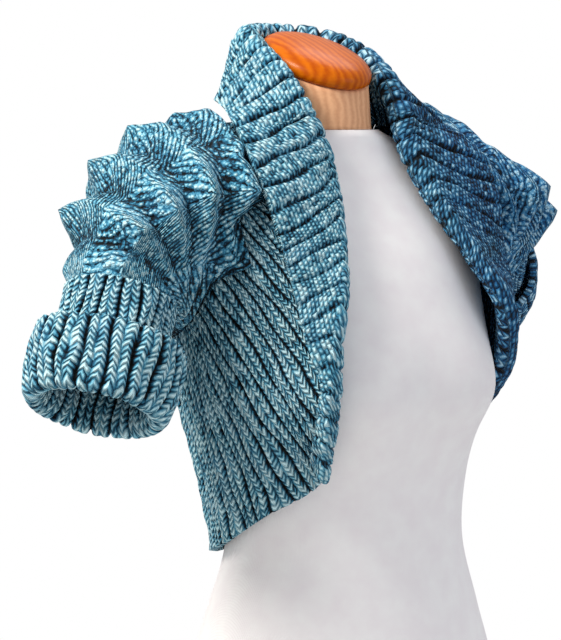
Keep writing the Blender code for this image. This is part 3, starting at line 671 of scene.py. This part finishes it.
def band_surface(rib, place):
    """The band's middle: place 0 to 1 is the under layer, 1 to 2 the fold and 2 to 3 the outer layer.

    The fold is half an oval: out by ROLL (1 - cos a) / 2 and on by ROLL_DEPTH sin a.
    """
    values = through_rows(BAND_ROWS, rib)
    length = np.linalg.norm(values[..., 3:6] - values[..., 0:3], axis=-1)
    angle = np.pi * np.clip(place - 1, 0, 1)
    share = (1 - ROLL_DEPTH / length) * np.clip(place, 0, 1) + ROLL_DEPTH / length * np.sin(angle)
    outward = slope_normals(band_layer, rib, share)
    under = band_layer(rib, share) + outward * (0.5 * ROLL * (1 - np.cos(angle)))[..., None]
    free = through_rows(TURNED_ROWS, rib)
    over = over_figure(under, free, np.clip(place - 2, 0, 1))
    return np.where((place > 2)[..., None], over, under)


def band_seam_frame(rib):
    """At the seam: the point, the way over it to the sleeve, and the thickness's direction."""
    start = band_layer(rib, 0.0 * rib)
    ahead = band_layer(rib + 0.1, 0.0 * rib) - band_layer(rib - 0.1, 0.0 * rib)
    thick = slope_normals(band_layer, rib, 0.0 * rib)
    from_neck = np.minimum(np.abs(rib), np.abs(2 * HALF_RING - rib))
    near_neck = np.clip(1.6 - from_neck / 8.0, 0, 1)
    thick = unit(thick + np.array([0.0, 0.0, UP_TURN]) * near_neck[..., None])
    return start, unit(np.cross(ahead, thick)), thick


def soft_folds(middle, first, second, table):
    """How far creases lift a surface: each is depth times exp(-(d / width)^2).

    d is the distance to a line between two places of the surface, given by their parameters. The
    table's widths and depths are in millimetres.
    """
    spans = (np.ptp(first), np.ptp(second))
    rise = np.zeros(first.shape)
    for start_first, start_second, end_first, end_second, width, depth in table:
        ends = []
        for at_first, at_second in ((start_first, start_second), (end_first, end_second)):
            apart = ((first - at_first) / spans[0]) ** 2 + ((second - at_second) / spans[1]) ** 2
            ends.append(middle[np.unravel_index(np.argmin(apart), apart.shape)])
        line = ends[1] - ends[0]
        t = np.clip((middle - ends[0]) @ line / (line @ line), 0, 1)
        d = np.linalg.norm(middle - ends[0] - t[..., None] * line, axis=-1)
        rise += 0.001 * depth * np.exp(-((1000 * d / width) ** 2))
    return rise


print("the fold at rib 20 lies at", np.round(band_surface(np.array(20.0), np.array(1.5)), 3))

# %% [markdown]
# ## Ribs, stitches and creases
# A rib is two columns of knit stitches: a rounded back with a deep groove on each side and a thin
# one down its middle. Its section is a short formula. The outer layer shows the fabric's other
# side, where the ribs are weaker and the stitches are small bumps. Listed creases follow: troughs
# that fan out from the shoulder and under the bust, none like its neighbour.

# %% Ribs, stitches and creases
RIB_STEPS = np.array([0.0, 0.05, 0.11, 0.20, 0.33, 0.50, 0.67, 0.80, 0.89, 0.95])
RIB_RISE, RIB_GROOVE = 0.0038, 0.0014
ROW_HEIGHT, FINE_ROW = 0.0055, 0.0042  # metres to a row of stitches, and to a row of bumps
LOOSENESS = 0.0009  # how far uneven knitting lifts a rib


def rib_section(rib):
    """A rib's height, 0 to 1: 1 - exp(-(sin(pi f) / 0.3)^2), less a thin groove at its middle."""
    f = rib % 1.0
    back = 1 - np.exp(-((np.sin(np.pi * f) / 0.30) ** 2))
    return back * (1 - 0.42 * np.exp(-(((f - 0.5) / 0.05) ** 2)))


def rib_stray(rib, down):
    """How far a hand-knitted rib strays to the side, in ribs: two slow sines down its length."""
    return 0.07 * np.sin(down / 0.011 + 2.3 * rib) + 0.06 * np.sin(down / 0.027 - 1.7 * rib)


def unevenness(points):
    """Loose and tight knitting, -1 to 1: the mean of five sines, 16 to 36 mm long, each its own way."""
    ways = np.array([[310, 120, 90], [-140, 260, 170], [90, -190, 320], [220, 210, -240], [-60, 70, 150]])
    return np.sin(points @ ways.T + np.array([0.3, 1.9, 4.1, 2.7, 5.2])).sum(-1) / 5


BAND_FOLDS = {
    # rib and place at each end, then width and depth in millimetres; troughs are negative
    "collar": ((-4.2, 2.2, -3.6, 2.9, 10, 1.5), (2.1, 2.1, 2.9, 2.8, 12, 1.2)),
    "front_right": (
        (9.5, 0.15, 13.0, 0.75, 11, 2.2),
        (11.6, 0.05, 15.5, 0.55, 9, -1.6),
        (15.2, 0.20, 17.0, 0.95, 12, 1.8),
        (19.3, 0.10, 18.6, 0.70, 10, 2.4),
        (21.8, 0.15, 20.5, 0.60, 9, -1.4),
        (13.0, 2.30, 15.0, 2.90, 10, 2.2),
        (20.5, 2.20, 22.5, 2.85, 9, 2),
    ),
    "front_left": (
        (60.5, 0.15, 62.3, 0.75, 10, 2),
        (64.0, 0.20, 66.0, 0.80, 12, -1.5),
        (68.5, 0.10, 70.5, 0.65, 10, 2.4),
        (61.5, 2.30, 60.0, 2.90, 10, 1.8),
        (71.0, 2.20, 69.0, 2.80, 10, 2),
    ),
    "hem_band": (
        (26.5, 0.15, 25.2, 0.80, 10, 2.2),
        (29.0, 0.10, 28.3, 0.65, 12, -1.8),
        (32.4, 0.20, 33.1, 0.85, 9, 2.4),
        (37.0, 0.10, 36.0, 0.60, 12, 2),
        (42.3, 0.15, 43.0, 0.75, 10, -1.4),
        (47.8, 0.20, 46.9, 0.90, 11, 2.4),
        (53.5, 0.10, 54.6, 0.70, 10, 1.8),
    ),
}
print("creases on the band:", {name: len(table) for name, table in BAND_FOLDS.items()})

# %% The band's pieces
TRIM = SEAM_GAP / 2 / 0.02  # half the gap, in ribs of 20 mm
FLARE = 0.0022  # how far the turned-back layer's free edge stands out in waves
FLAT_RIBS_RIGHT, FLAT_RIBS_LEFT = 0.45, 0.93  # how much of the ribs is lost on the turned fronts
LEFT_SHADE = 0.2  # how much darker the left front is


def make_band(name, first, last, rows, turned):
    """One stretch of the band: its middle, with ribs raised on whichever side shows."""
    steps = (np.arange(first, last)[:, None] + RIB_STEPS).ravel()
    steps = np.clip(np.append(steps, last), first + TRIM, last - TRIM)
    rib, place = np.meshgrid(steps, rows)
    middle = band_surface(rib, place) if turned else band_layer(rib, place)
    outward = grid_normals(middle, False)
    outward[0] = band_seam_frame(rib[0])[2]
    from_ends = np.minimum(rib - first, last - rib)
    fade = np.clip(place / 0.25, 0, 1) * np.clip(from_ends / 0.8, 0, 1)
    lift = soft_folds(middle, rib, place, BAND_FOLDS[name]) * fade
    back = np.clip(place - 2, 0, 1)
    ripple = 0.5 + 0.5 * np.sin(1.9 * rib + 1.3 * np.sin(0.6 * rib))
    lift = lift * np.where(back > 0, -1, 1) - FLARE * ripple * back**2 * np.clip(from_ends, 0, 1)
    middle = middle + outward * lift[..., None]
    down = distance_along(middle)
    inside_ends = np.clip(from_ends / 0.6, 0, 1)
    astray = rib + rib_stray(rib, down) * inside_ends
    section = rib_section(astray)
    loose = unevenness(middle) * LOOSENESS * np.clip(place / 0.2, 0, 1) * inside_ends
    under = np.clip((1.35 - place) / 0.5, 0, 1)
    down_front = np.clip((np.minimum(np.abs(rib), 2 * HALF_RING - rib) - 8) / 6, 0, 1)
    weaker = 1 - np.where(rib > HALF_RING, FLAT_RIBS_LEFT, FLAT_RIBS_RIGHT) * down_front
    raised = section * (RIB_RISE + RIB_GROOVE) - RIB_GROOVE
    faces = ((raised + loose) * under, (raised * weaker + loose) * (1 - under))
    fine = place > 1.5
    stitch = np.where(fine, astray * 4, astray * 2)
    stitch_row = np.where(fine, down / FINE_ROW, down / ROW_HEIGHT)
    # the knit Z is a painted light level: painted shade in the grooves, less where the ribs are flattened,
    # and on the left front, away from the key lamp
    height = np.where(fine, 1 - (0.25 + 0.55 * weaker) * (1 - section), section)
    height = height - LEFT_SHADE * np.clip((rib - HALF_RING) / 10, 0, 1)
    knit = np.stack([stitch, stitch_row, height], axis=-1)
    piece = wall(name, middle, outward, faces, knit, False, ribbed_wool)
    if turned:
        # the wall's two faces, which come first, show bumps on the turned-back rows
        piece.data.materials.append(purl_wool)
        slots = np.zeros(len(piece.data.polygons), dtype=np.int32)
        bumpy = np.tile(np.repeat(rows[:-1] >= 1.5, len(steps) - 1), 2)
        slots[: len(bumpy)] = bumpy
        piece.data.polygons.foreach_set("material_index", slots)
    return piece


folded_rows = np.concatenate([np.linspace(0, 1, 44)[:-1], np.linspace(1, 2, 22)[:-1], np.linspace(2, 3, 50)])
flat_rows = np.linspace(0, 1, 74)
ring = 2 * HALF_RING
collar = make_band("collar", -COLLAR_RIBS, COLLAR_RIBS, folded_rows, True)
front_right = make_band("front_right", COLLAR_RIBS, FRONT_RIBS, folded_rows, True)
front_left = make_band("front_left", ring - FRONT_RIBS, ring - COLLAR_RIBS, folded_rows, True)
hem_band = make_band("hem_band", FRONT_RIBS, ring - FRONT_RIBS, flat_rows, False)
print("band faces:", [len(piece.data.polygons) for piece in (collar, front_right, front_left, hem_band)])

# %% [markdown]
# ## Sleeves of mitred squares
# A mitred square is knitted from its outer edges to its middle, so that its rows meet at a right
# angle along one diagonal. Joined corner to corner, such squares stand out in points. The sleeve
# is first a smooth tube: every line along it is a cubic from the armhole to the end ring. Ridges
# are then raised round it with a triangle wave, and each ridge rises to a point where the squares'
# corners meet. The rows of stitches run in a zigzag, which is how a mitre looks.

# %% The sleeves' tables
ARMHOLE_TOP_RIB, ARMHOLE_UNDER_RIB = 5, 29
ARMHOLE_BACK = (
    # part of the ring, x, y, z (of the right side)
    (0.62, -0.168, 0.078, 0.480),
    (0.75, -0.150, 0.108, 0.540),
    (0.88, -0.115, 0.100, 0.602),
)
SLEEVE_RADIUS = 0.046
RIGHT_SLEEVE = {"side": -1, "end": (-0.264, -0.010, 0.484), "axis": (-0.43, -0.24, -0.87)}
LEFT_SLEEVE = {"side": 1, "end": (0.254, 0.075, 0.510), "axis": (0.50, 0.66, -0.56)}
LEAVE_TOP = (0.97, -0.02, 0.04)
UNDER_LIFT, UNDER_AWAY = 0.10, 0.6
LEAVE_BOW = np.array([0.0, 0.55, 0.0])
END_TWIST, SLEEVE_EASE, UNDER_EASE = 0.55, 1.1, 0.7
RIDGES, POINTS_ROUND, POINT_SHIFT = 5, 4, 1 / 24
POINT_HEIGHT, FULL_POINT_LINE, SADDLE = 0.032, 0.19, 0.36
RIDGE_SHARP, POINT_SHARP, YOKE_SHARP = 1.2, 2.0, 1.4


def mirrored(vectors, side):
    """Right-hand vectors for side -1, or their mirror image for side 1."""
    return np.asarray(vectors) * np.array([-side, 1.0, 1.0])


def armhole(part, side):
    """An armhole's points, the seam's thickness and the way over it, part 0 to 1 from the shoulder.

    To 0.5 it is the band's seam, moved off it by the gap. From there it runs up the back.
    """

    def band_frame(ribs):
        """The band's frame at ribs counted down this side from the neck."""
        return band_seam_frame(ribs if side < 0 else 2 * HALF_RING - ribs)

    ribs = ARMHOLE_TOP_RIB + 2 * part * (ARMHOLE_UNDER_RIB - ARMHOLE_TOP_RIB)
    start, away, front_thick = band_frame(np.minimum(ribs, float(ARMHOLE_UNDER_RIB)))
    front = start + away * SEAM_GAP
    ends, end_away, end_thick = band_frame(np.array([ARMHOLE_UNDER_RIB, ARMHOLE_TOP_RIB], dtype=float))
    ends = ends + end_away * SEAM_GAP
    rows = [(0.5, *ends[0], *end_thick[0], *end_away[0])]
    for place, x, y, z in ARMHOLE_BACK:
        outward = unit(np.array([x, y - centre_behind(z), 0.25 * abs(y)]))
        rows.append((place, *mirrored((x, y, z), side), *mirrored(outward, side), side, 0.0, 0.0))
    rows.append((1.0, *ends[1], *end_thick[1], *end_away[1]))
    back = through_rows(rows, part)
    in_front = (part <= 0.5)[..., None]
    ring_points = np.where(in_front, front, back[..., 0:3])
    thick = unit(np.where(in_front, front_thick, back[..., 3:6]))
    return ring_points, thick, unit(np.where(in_front, away, back[..., 6:9]))


def sleeve_frame(sleeve):
    """The sleeve end's centre, axis, and the directions to its outer top and its front."""
    axis = unit(np.array(sleeve["axis"]))
    outer = np.array([sleeve["side"], END_TWIST, 0.45])
    outer = unit(outer - axis * np.dot(outer, axis))
    return np.array(sleeve["end"]), axis, outer, np.cross(axis, outer) * sleeve["side"]


def sleeve_tube(sleeve, part, along):
    """The smooth sleeve: a cubic from each armhole point (along 0) to the end ring (along 1)."""
    side = sleeve["side"]
    start, _, away = armhole(part, side)
    centre, axis, outer, front = sleeve_frame(sleeve)
    angle = (2 * np.pi * part)[..., None]
    end = centre + SLEEVE_RADIUS * (outer * np.cos(angle) + front * np.sin(angle))
    length = np.linalg.norm(end - start, axis=-1, keepdims=True)
    top = mirrored(LEAVE_TOP, -side) * (1 + np.cos(angle)) / 2
    straight = (end - start) / length + np.array([0.0, 0.0, UNDER_LIFT]) + away * UNDER_AWAY
    leave = unit(top + straight * (1 - np.cos(angle)) / 2 - LEAVE_BOW * np.sin(angle))
    reach = length * (SLEEVE_EASE + (UNDER_EASE - SLEEVE_EASE) * (1 - np.cos(angle)) / 2)
    return cubic(start, leave * reach, end, axis * reach, along[..., None])


halfway = sleeve_tube(RIGHT_SLEEVE, np.array(0.0), np.array(0.5))
print("right sleeve's outer top at half its length:", np.round(halfway, 3))

# %% Ridges, points and corners


def triangle(x):
    """A triangle wave: 1 at whole numbers, 0 halfway between them."""
    return 1 - np.abs(((x + 0.5) % 1.0) * 2 - 1)


def ridge_height(across, along, sharp):
    """Ridges one unit apart, each rising to a point every unit: triangle waves to powers."""
    return triangle(across) ** RIDGE_SHARP * (SADDLE + (1 - SADDLE) * triangle(along) ** sharp)


SLEEVE_CORNERS = (
    # part of the armhole, half width in parts, how far it laps over the front, in metres
    (0.205, 0.052, 0.027),
    (0.318, 0.048, 0.026),
    (0.110, 0.035, 0.010),
)
CORNER_LIFT = 0.0078
SLEEVE_FOLDS = {
    # part and along at each end, then width and depth in millimetres
    -1: (
        (0.05, 0.25, 0.12, 0.55, 10, -3),
        (0.22, 0.20, 0.17, 0.48, 9, 2.6),
        (0.33, 0.15, 0.30, 0.60, 12, -2.8),
        (0.45, 0.30, 0.41, 0.80, 11, 2.4),
        (0.60, 0.20, 0.64, 0.60, 10, -2.6),
        (0.76, 0.35, 0.72, 0.75, 12, 2.8),
        (0.90, 0.25, 0.94, 0.60, 9, -2.2),
    ),
    1: (
        (0.08, 0.30, 0.03, 0.60, 11, -2.8),
        (0.19, 0.20, 0.24, 0.60, 10, 2.6),
        (0.36, 0.20, 0.32, 0.55, 10, -2.4),
        (0.52, 0.30, 0.48, 0.75, 12, 2.6),
        (0.68, 0.25, 0.73, 0.65, 10, -2.8),
        (0.84, 0.20, 0.80, 0.55, 11, 2.2),
    ),
}
SLEEVE_PARTS, SLEEVE_ROWS = 240, 126
GARTER_ROW = 0.0070  # metres from one row of knots to the next
MITRE_SLANT = 0.046  # how far a row climbs to its square's diagonal, in metres
VALLEY_SHADE, SHADE_CURVE = 0.15, 0.8


def ridge_shade(across):
    """How light a place between two ridges is, from VALLEY_SHADE up to 1 on the ridge."""
    return VALLEY_SHADE + (1 - VALLEY_SHADE) * triangle(across) ** SHADE_CURVE


def make_sleeve(name, sleeve):
    """The sleeve as a wall open at both ends, its squares' points standing out of the tube."""
    side = sleeve["side"]
    part, along = np.meshgrid(np.arange(SLEEVE_PARTS) / SLEEVE_PARTS, np.linspace(0, 1, SLEEVE_ROWS))
    tube = sleeve_tube(sleeve, part, along)
    outward = grid_normals(tube, True) * side
    fade = np.clip(np.minimum((along - 0.08) / 0.09, (1 - along) / 0.2), 0, 1)
    line = np.linalg.norm(tube[-1] - tube[0], axis=-1)
    fade = fade * np.clip(line / FULL_POINT_LINE, 0, 1) ** 2
    # the left sleeve's lower points stand further round it than its upper ones
    climb = np.clip((along[:, :1] - 0.28) / 0.14, 0, 1)
    shift = POINT_SHIFT if side < 0 else (5 * climb - 1) / 48
    pattern = ridge_height(along * RIDGES + 0.25, (part + shift) * POINTS_ROUND, POINT_SHARP)
    rise = (pattern * POINT_HEIGHT + unevenness(tube) * 0.0014) * fade
    rise = rise + soft_folds(tube, part, along, SLEEVE_FOLDS[side]) * np.clip(fade * 2, 0, 1)
    middle = tube + outward * rise[..., None]
    _, thick, away = armhole(part[0], side)
    for at, half, lap in SLEEVE_CORNERS:
        shape = np.clip(1 - np.abs(part - at) / half, 0, 1) * np.clip(1 - along / 0.30, 0, 1)
        lift = np.clip(4 * shape, 0, 1) * np.clip(1 - along / 0.12, 0, 1) * CORNER_LIFT
        middle = middle - away * (shape * lap)[..., None] + thick * lift[..., None]
    outward = grid_normals(middle, True) * side
    outward[0] = thick
    outward[-1] = unit(middle[-1] - np.array(sleeve["end"]))
    down = distance_along(tube + outward * rise[..., None] * 0.5)
    # painted shade: darker in the valleys and towards the armhole; the left sleeve is painted lighter
    shade = ridge_shade(along * RIDGES + 0.25) * (0.72 + 0.28 * np.clip(along / 0.4, 0, 1))
    shade = shade + (0.34 if side > 0 else 0.05)
    round_at = np.linspace(0, 1, SLEEVE_PARTS + 1)[None] + 0 * along[:, :1]
    zigzag = triangle((round_at + shift) * POINTS_ROUND) * MITRE_SLANT
    knit = [round_at * 56, (first_again(down) + zigzag) / GARTER_ROW, first_again(shade)]
    knit = np.stack(knit, axis=-1)
    return wall(name, middle, outward, (0, 0), knit, True, garter_wool)


sleeve_right = make_sleeve("sleeve_right", RIGHT_SLEEVE)
sleeve_left = make_sleeve("sleeve_left", LEFT_SLEEVE)
print("sleeve faces:", len(sleeve_right.data.polygons), len(sleeve_left.data.polygons))

# %% [markdown]
# ## Turned-back cuffs
# The sleeve ends in a ribbed tube that is folded back on itself, as a hand knitter makes a warm
# cuff: the tube runs down inside, round the lip and up outside. One section, a radius for each
# step of the way, is turned about the sleeve's axis. The ribs stand out on the side that shows.

# %% The cuffs
CUFF_RIBS = 18
CUFF_SECTION = (
    # row, along the axis, radius
    (0, 0.0008, 0.0455),
    (1, 0.020, 0.0450),
    (2, 0.040, 0.0455),
    (3, 0.066, 0.0465),
    (4, 0.090, 0.0475),
    (5, 0.1005, 0.0500),
    (6, 0.1050, 0.0550),
    (7, 0.1000, 0.0600),
    (8, 0.082, 0.0630),
    (9, 0.060, 0.0635),
    (10, 0.044, 0.0605),
)
CUFF_FOLDS = (
    # rib and row at each end, then width and depth in millimetres
    (3.2, 9.6, 4.6, 7.6, 9, -2),
    (8.1, 9.8, 7.4, 8.0, 10, 2.2),
    (13.4, 9.2, 14.6, 7.2, 11, -1.8),
    (6.0, 0.6, 5.0, 2.0, 9, 1.6),
)


def make_cuff(name, sleeve):
    """The ribbed lower sleeve and its cuff: CUFF_SECTION turned about the sleeve's axis."""
    centre, axis, outer_way, front = sleeve_frame(sleeve)
    steps = (np.arange(CUFF_RIBS)[:, None] + RIB_STEPS).ravel()
    rows = np.concatenate([np.linspace(0, 4, 44)[:-1], np.linspace(4, 8, 34)[:-1], np.linspace(8, 10, 24)])
    rib, row = np.meshgrid(steps, rows)
    section = through_rows(CUFF_SECTION, row)
    angle = (2 * np.pi * rib / CUFF_RIBS)[..., None]
    ring_way = outer_way * np.cos(angle) + front * np.sin(angle)
    middle = centre + axis * section[..., 0:1] + ring_way * section[..., 1:2]
    outward = grid_normals(middle, True) * sleeve["side"]
    outward[0] = ring_way[0]
    turned = np.clip((row - 2.5) / 1.0, 0, 1)
    ends = np.clip(row / 0.8, 0, 1)
    lift = soft_folds(middle, rib, row, CUFF_FOLDS) * ends * (1 - 2 * np.clip((row - 5) * 10, 0, 1))
    hem = 0.0014 * np.sin(2 * np.pi * rib / CUFF_RIBS * 3 + 0.7) * np.clip((row - 8.5) / 1.5, 0, 1)
    middle = middle + outward * (lift - hem)[..., None]
    down = distance_along(middle)
    astray = rib + 0.07 * np.sin(down / 0.012 + 2 * np.pi * 5 * rib / CUFF_RIBS)
    show = rib_section(astray) * (RIB_RISE + RIB_GROOVE) - RIB_GROOVE
    show = show + unevenness(middle) * LOOSENESS * ends
    counted = np.concatenate([astray, astray[:, :1] + CUFF_RIBS], axis=1)
    # Z is rib_section: painted shade in the grooves between the ribs
    knit = np.stack([counted * 2, first_again(down) / ROW_HEIGHT, rib_section(counted)], axis=-1)
    return wall(name, middle, outward, (show * (1 - turned), show * turned), knit, True, ribbed_wool)


cuff_right = make_cuff("cuff_right", RIGHT_SLEEVE)
cuff_left = make_cuff("cuff_left", LEFT_SLEEVE)
print("cuff faces:", len(cuff_right.data.polygons), len(cuff_left.data.polygons))

# %% [markdown]
# ## The back yoke
# Between the armholes the back is a panel of the same mitred squares. Its four edges are the
# collar's seam, the hem band's seam and the two armholes. A Coons patch fills them: it adds the
# blend from top to bottom to the blend from side to side and takes away the blend of the corners.

# %% The yoke
YOKE_ACROSS, YOKE_DOWN = 160, 96
YOKE_RIDGES, YOKE_POINTS, YOKE_POINT_HEIGHT = 3, 5, 0.024
YOKE_BULGE, YOKE_TRIM, YOKE_LOOSENESS = 0.006, 0.006, 0.0012
YOKE_FOLDS = (
    # across and down at each end, then width and depth in millimetres
    (0.16, 0.25, 0.30, 0.45, 11, -2.4),
    (0.42, 0.35, 0.38, 0.75, 12, 2.2),
    (0.58, 0.20, 0.66, 0.55, 10, -2),
    (0.84, 0.30, 0.76, 0.70, 12, 2.4),
)


def yoke_surface(across, down):
    """The yoke's Coons patch, in turn, level and clearance, with its points raised, and its fade."""
    half_top, half_low = float(ARMHOLE_TOP_RIB), float(HALF_RING - ARMHOLE_UNDER_RIB)
    top, top_away, _ = band_seam_frame(half_top * (1 - 2 * across))
    low, low_away, _ = band_seam_frame(HALF_RING + half_low * (2 * across - 1))
    top, low = from_torso(top + top_away * SEAM_GAP), from_torso(low + low_away * SEAM_GAP)
    right, left = from_torso(armhole(1 - 0.5 * down, -1)[0]), from_torso(armhole(1 - 0.5 * down, 1)[0])
    corners = []
    for rib in (half_top, -half_top, HALF_RING - half_low, HALF_RING + half_low):
        corner, away, _ = band_seam_frame(np.array(rib))
        corners.append(from_torso(corner + away * SEAM_GAP))
    u, v = across[..., None], down[..., None]
    edges = top * (1 - v) + low * v + right * (1 - u) + left * u
    top_ends = corners[0] * (1 - u) + corners[1] * u
    low_ends = corners[2] * (1 - u) + corners[3] * u
    turn, level, clear = np.moveaxis(edges - top_ends * (1 - v) - low_ends * v, -1, 0)
    fade = np.clip(np.minimum(across, 1 - across) / 0.1, 0, 1)
    fade = fade * np.clip(np.minimum(down, 1 - down) / 0.12, 0, 1)
    pattern = ridge_height(down * YOKE_RIDGES + 0.5, across * YOKE_POINTS + 0.5, YOKE_SHARP)
    uneven = unevenness(over_torso(turn, level, 0.0)) * YOKE_LOOSENESS
    clear = clear + (pattern * YOKE_POINT_HEIGHT + uneven) * fade
    clear = clear + YOKE_BULGE * np.sin(np.pi * across) * np.sin(np.pi * down)
    return over_torso(turn, level, clear), fade


def make_yoke():
    """The yoke as a wall, its edges facing its neighbours' edges."""
    share, downward = np.linspace(YOKE_TRIM, 1 - YOKE_TRIM, YOKE_ACROSS), np.linspace(0, 1, YOKE_DOWN)
    across, down = np.meshgrid(share, downward)
    middle, fade = yoke_surface(across, down)
    outward = grid_normals(middle, False)
    outward = outward * np.sign(np.sum(outward[..., 1]))
    middle = middle + outward * (soft_folds(middle, across, down, YOKE_FOLDS) * fade)[..., None]
    outward[:, 0] = armhole(1 - 0.5 * downward, -1)[1]
    outward[:, -1] = armhole(1 - 0.5 * downward, 1)[1]
    outward[0] = band_seam_frame(float(ARMHOLE_TOP_RIB) * (1 - 2 * share))[2]
    outward[-1] = band_seam_frame(HALF_RING + float(HALF_RING - ARMHOLE_UNDER_RIB) * (2 * share - 1))[2]
    zigzag = triangle(across * YOKE_POINTS + 0.5) * MITRE_SLANT
    shade = ridge_shade(down * YOKE_RIDGES + 0.5)
    knit = np.stack([across * 60, (distance_along(middle) + zigzag) / GARTER_ROW, shade], axis=-1)
    return wall("back_yoke", middle, outward, (0, 0), knit, False, garter_wool)


back_yoke = make_yoke()
print("yoke faces:", len(back_yoke.data.polygons))

# %% [markdown]
# ## The floor, and what each piece stands for
# The form stands on a small pale floor, outside the picture. Last, each piece is tied to the CAD
# model's root, and the solids that it takes the place of are hidden. The tables also name each
# piece's finish and how each piece of knitting was shaped before it was worn, but nothing here uses
# them. The flat sizes are those that the knitting needles made.

# %% The floor
FLOOR_RADIUS, FLOOR_SIDES = 0.42, 96
turns = np.linspace(0, 2 * np.pi, FLOOR_SIDES, endpoint=False)
rim = np.stack([np.sin(turns), np.cos(turns), 0 * turns], axis=-1) * FLOOR_RADIUS
plate = [rim * (1, 1, 0) + (0, 0, level) for level in (-0.008, -0.0005)]
floor_finish = new_finish("pale_plaster_floor", Roughness=0.9, Base_Color=linear("#F2F2F0"))[0]
floor = stacked("floor", plate, floor_finish)
print("floor radius", FLOOR_RADIUS)

# %% Riding and replacing
KNITTING = (
    # piece, CAD nodes, knitted width and length in metres, area, how it is held, what it rests on
    (collar, "collar", (0.32, 0.16), 0.050, "folded", (form_neck, back_yoke)),
    (front_right, "front_right", (0.38, 0.19), 0.060, "folded", (collar, form_body)),
    (front_left, "front_left", (0.41, 0.18), 0.062, "folded", (collar, form_body)),
    (hem_band, "hem_band", (0.61, 0.20), 0.115, "hung", (back_yoke, form_body)),
    (back_yoke, "back_yoke", (0.34, 0.26), 0.082, "hung", (collar, form_body)),
    (sleeve_right, "sleeve_right", (0.45, 0.19), 0.081, "hung", (front_right, back_yoke)),
    (sleeve_left, "sleeve_left", (0.44, 0.17), 0.073, "hung", (front_left, back_yoke)),
    (cuff_right, "cuff_right lower_sleeve_right", (0.37, 0.175), 0.064, "folded", (sleeve_right,)),
    (cuff_left, "cuff_left lower_sleeve_left", (0.37, 0.175), 0.064, "folded", (sleeve_left,)),
)
FORM = (
    (form_body, "form_body", "form_cover"),
    (form_neck, "form_neck", "form_neck"),
    (form_cap, "form_cap", "form_cap"),
)
pieces = [(piece, cad_nodes, "knit_wool") for piece, cad_nodes, *_ in KNITTING] + list(FORM)
for piece, cad_nodes, slot in pieces:
    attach(piece, "root")
    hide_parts(*cad_nodes.split())
print("pieces:", len(pieces), "triangles:", 2 * sum(len(piece.data.polygons) for piece, _, _ in pieces))
